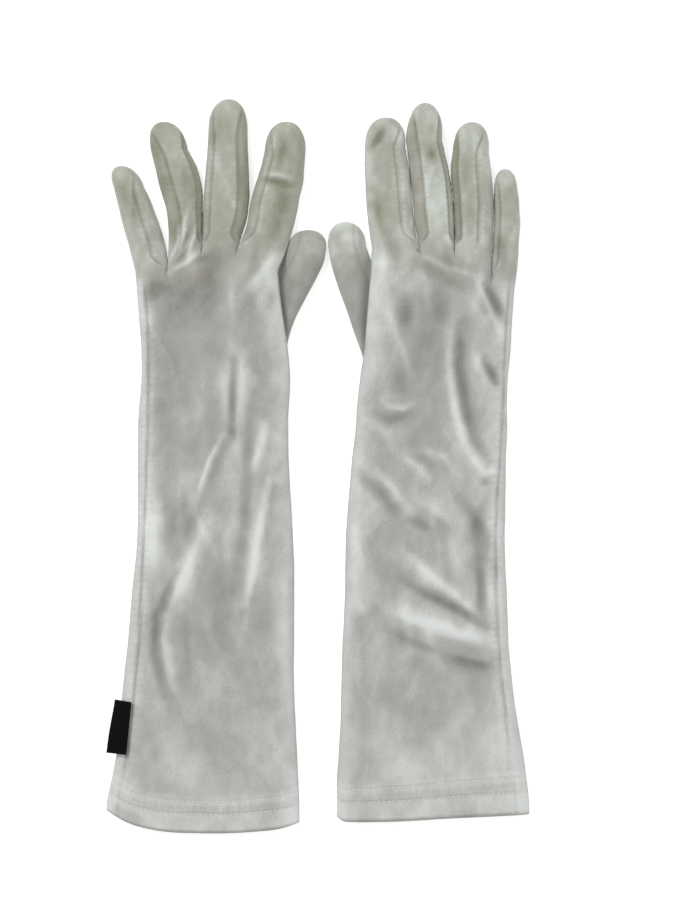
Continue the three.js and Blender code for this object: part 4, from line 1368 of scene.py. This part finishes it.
@dataclass(frozen=True)
class Label:
    """A folded woven label, blank, caught in the left glove's side seam near the hem."""

    root: tuple[float, float, float] = (-112.9, -156.0, 12.7)
    turn: float = math.radians(-5.5)
    droop: float = math.radians(-17.0)
    twist: float = math.radians(-22.0)  # how much more its upper end hangs than its lower end
    width: float = 12.0
    length: float = 31.5
    cloth: float = 0.32
    space: float = 0.16

    def build(self, finish: bpy.types.Material) -> bpy.types.Object:
        """A strip folded in two: out along the top layer, round the fold, back along the lower one, and
        back again on the inside, one cloth thickness in; its middle bows up a little."""
        half = self.cloth + self.space / 2.0
        bend = np.linspace(-np.pi / 2, np.pi / 2, 9)
        flat = np.linspace(0.0, self.width - half, 14)
        outer = [
            np.stack([flat, flat * 0 + half]),
            np.stack([self.width - half + half * np.cos(bend[::-1]), half * np.sin(bend[::-1])]),
            np.stack([flat[::-1], flat * 0 - half]),
        ]
        small = self.space / 2.0
        inner = [
            np.stack([flat, flat * 0 - small]),
            np.stack([self.width - half + small * np.cos(bend), small * np.sin(bend)]),
            np.stack([flat[::-1], flat * 0 + small]),
        ]
        loop = np.concatenate([*outer, *inner, outer[0][:, :1]], axis=1)
        along = np.linspace(-0.5, 0.5, 41)[:, None]
        out, up = loop[0][None, :], loop[1][None, :]
        bow = 0.5 * np.sin(np.pi * out / self.width) * np.cos(np.pi * along)
        bow = bow - 0.5 * (out / self.width) ** 2 * np.sin(5 * along)
        flat_x = -out + 0.0 * along
        z = up + bow
        hang = self.droop + self.twist * along
        x, z = flat_x * np.cos(hang) + z * np.sin(hang), z * np.cos(hang) - flat_x * np.sin(hang)
        y = along * self.length + 0.0 * out
        turned_x = x * math.cos(self.turn) - y * math.sin(self.turn)
        turned_y = x * math.sin(self.turn) + y * math.cos(self.turn)
        grid = np.stack([turned_x + self.root[0], turned_y + self.root[1], z + self.root[2]], axis=-1)
        count = sum(part.shape[1] for part in outer)
        ends = []
        for row, flip in ((grid[0], False), (grid[-1], True)):
            there, back = row[:count], row[count : 2 * count][::-1]
            cap = np.stack([back, there] if flip else [there, back])
            ends.append(cap)
        piece = weave("left_label_tab", (grid[:, ::-1], *ends))
        piece.data.materials.append(finish)
        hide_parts("left_label")
        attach(piece, "left_tab")
        2 * self.width * MM
        LOG.info("%s: %d faces", piece.name, len(piece.data.polygons))
        return piece


# ---- Studio ----


@dataclass(frozen=True)
class Studio:
    """A pale table top, soft lights and a camera straight above the pair."""

    centre: tuple[float, float] = (0.0129, 0.0102)
    height: float = 1.206
    lens: float = 80.0

    def floor(self) -> None:
        """A wide pale sheet under the gloves, clear from below so that their palm side can be seen."""
        edge, low = 9000.0, -0.3
        grid = np.array([[[-edge, -edge, low], [edge, -edge, low]], [[-edge, edge, low], [edge, edge, low]]])
        piece = weave("table_top", (grid,))
        constants = {"Roughness": 0.9, "Base Color": (0.6, 0.6, 0.6, 1), "Emission Color": (1, 1, 1, 1)}
        made = Finish("pale_table", {**constants, "Emission Strength": 0.62})
        below = made.node("ShaderNodeNewGeometry", "Backfacing")
        clear = made.node("ShaderNodeBsdfTransparent", "BSDF")
        shown = made.node("ShaderNodeMixShader", "Shader", None, Fac=below)
        mixer, surface = shown.output.node, made.tree.nodes["Material Output"].inputs["Surface"]
        made.tree.links.new(made.shader.outputs["BSDF"], mixer.inputs[1])
        made.tree.links.new(clear.output, mixer.inputs[2])
        made.tree.links.new(shown.output, surface)
        piece.data.materials.append(made.material)

    def lamp(self, name: str, place: tuple[float, float, float], size: float, power: float) -> None:
        """A square soft light that points at the pair."""
        data = bpy.data.lights.new(name, "AREA")
        data.size, data.energy = size, power
        lamp = bpy.data.objects.new(name, data)
        lamp.location = place
        x, y, z = place
        lamp.rotation_euler = (math.atan2(math.hypot(x, y), z), 0.0, math.atan2(-x, y) + math.pi)
        bpy.context.scene.collection.objects.link(lamp)

    def build(self) -> None:
        """Sets up floor, lights, surroundings and camera."""
        self.floor()
        self.lamp("key_light", (-0.75, 0.8, 1.35), 0.8, 20.0)
        self.lamp("fill_light", (1.1, -0.6, 1.3), 1.2, 8.0)
        world = bpy.data.worlds.new("studio_air")
        world.use_nodes = True
        world.node_tree.nodes["Background"].inputs["Color"].default_value = (1, 1, 1, 1)
        world.node_tree.nodes["Background"].inputs["Strength"].default_value = 0.55
        scene = bpy.context.scene
        scene.world = world
        scene.view_settings.view_transform = "Standard"
        data = bpy.data.cameras.new("overhead")
        data.lens, data.sensor_width = self.lens, 36.0
        camera = bpy.data.objects.new("overhead", data)
        camera.location = (*self.centre, self.height)
        scene.collection.objects.link(camera)
        scene.camera = camera


def main() -> None:
    """Builds both gloves, the label and the studio over the frame."""
    logging.basicConfig(level=logging.INFO, format="%(name)s %(message)s")
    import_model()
    velour, thread = Velour().material(), Thread().material()
    for glove in (left_glove(), right_glove()):
        glove.build(velour, thread)
    Label().build(WovenTab().material())
    Studio().build()


if __name__ == "__main__":
    main()
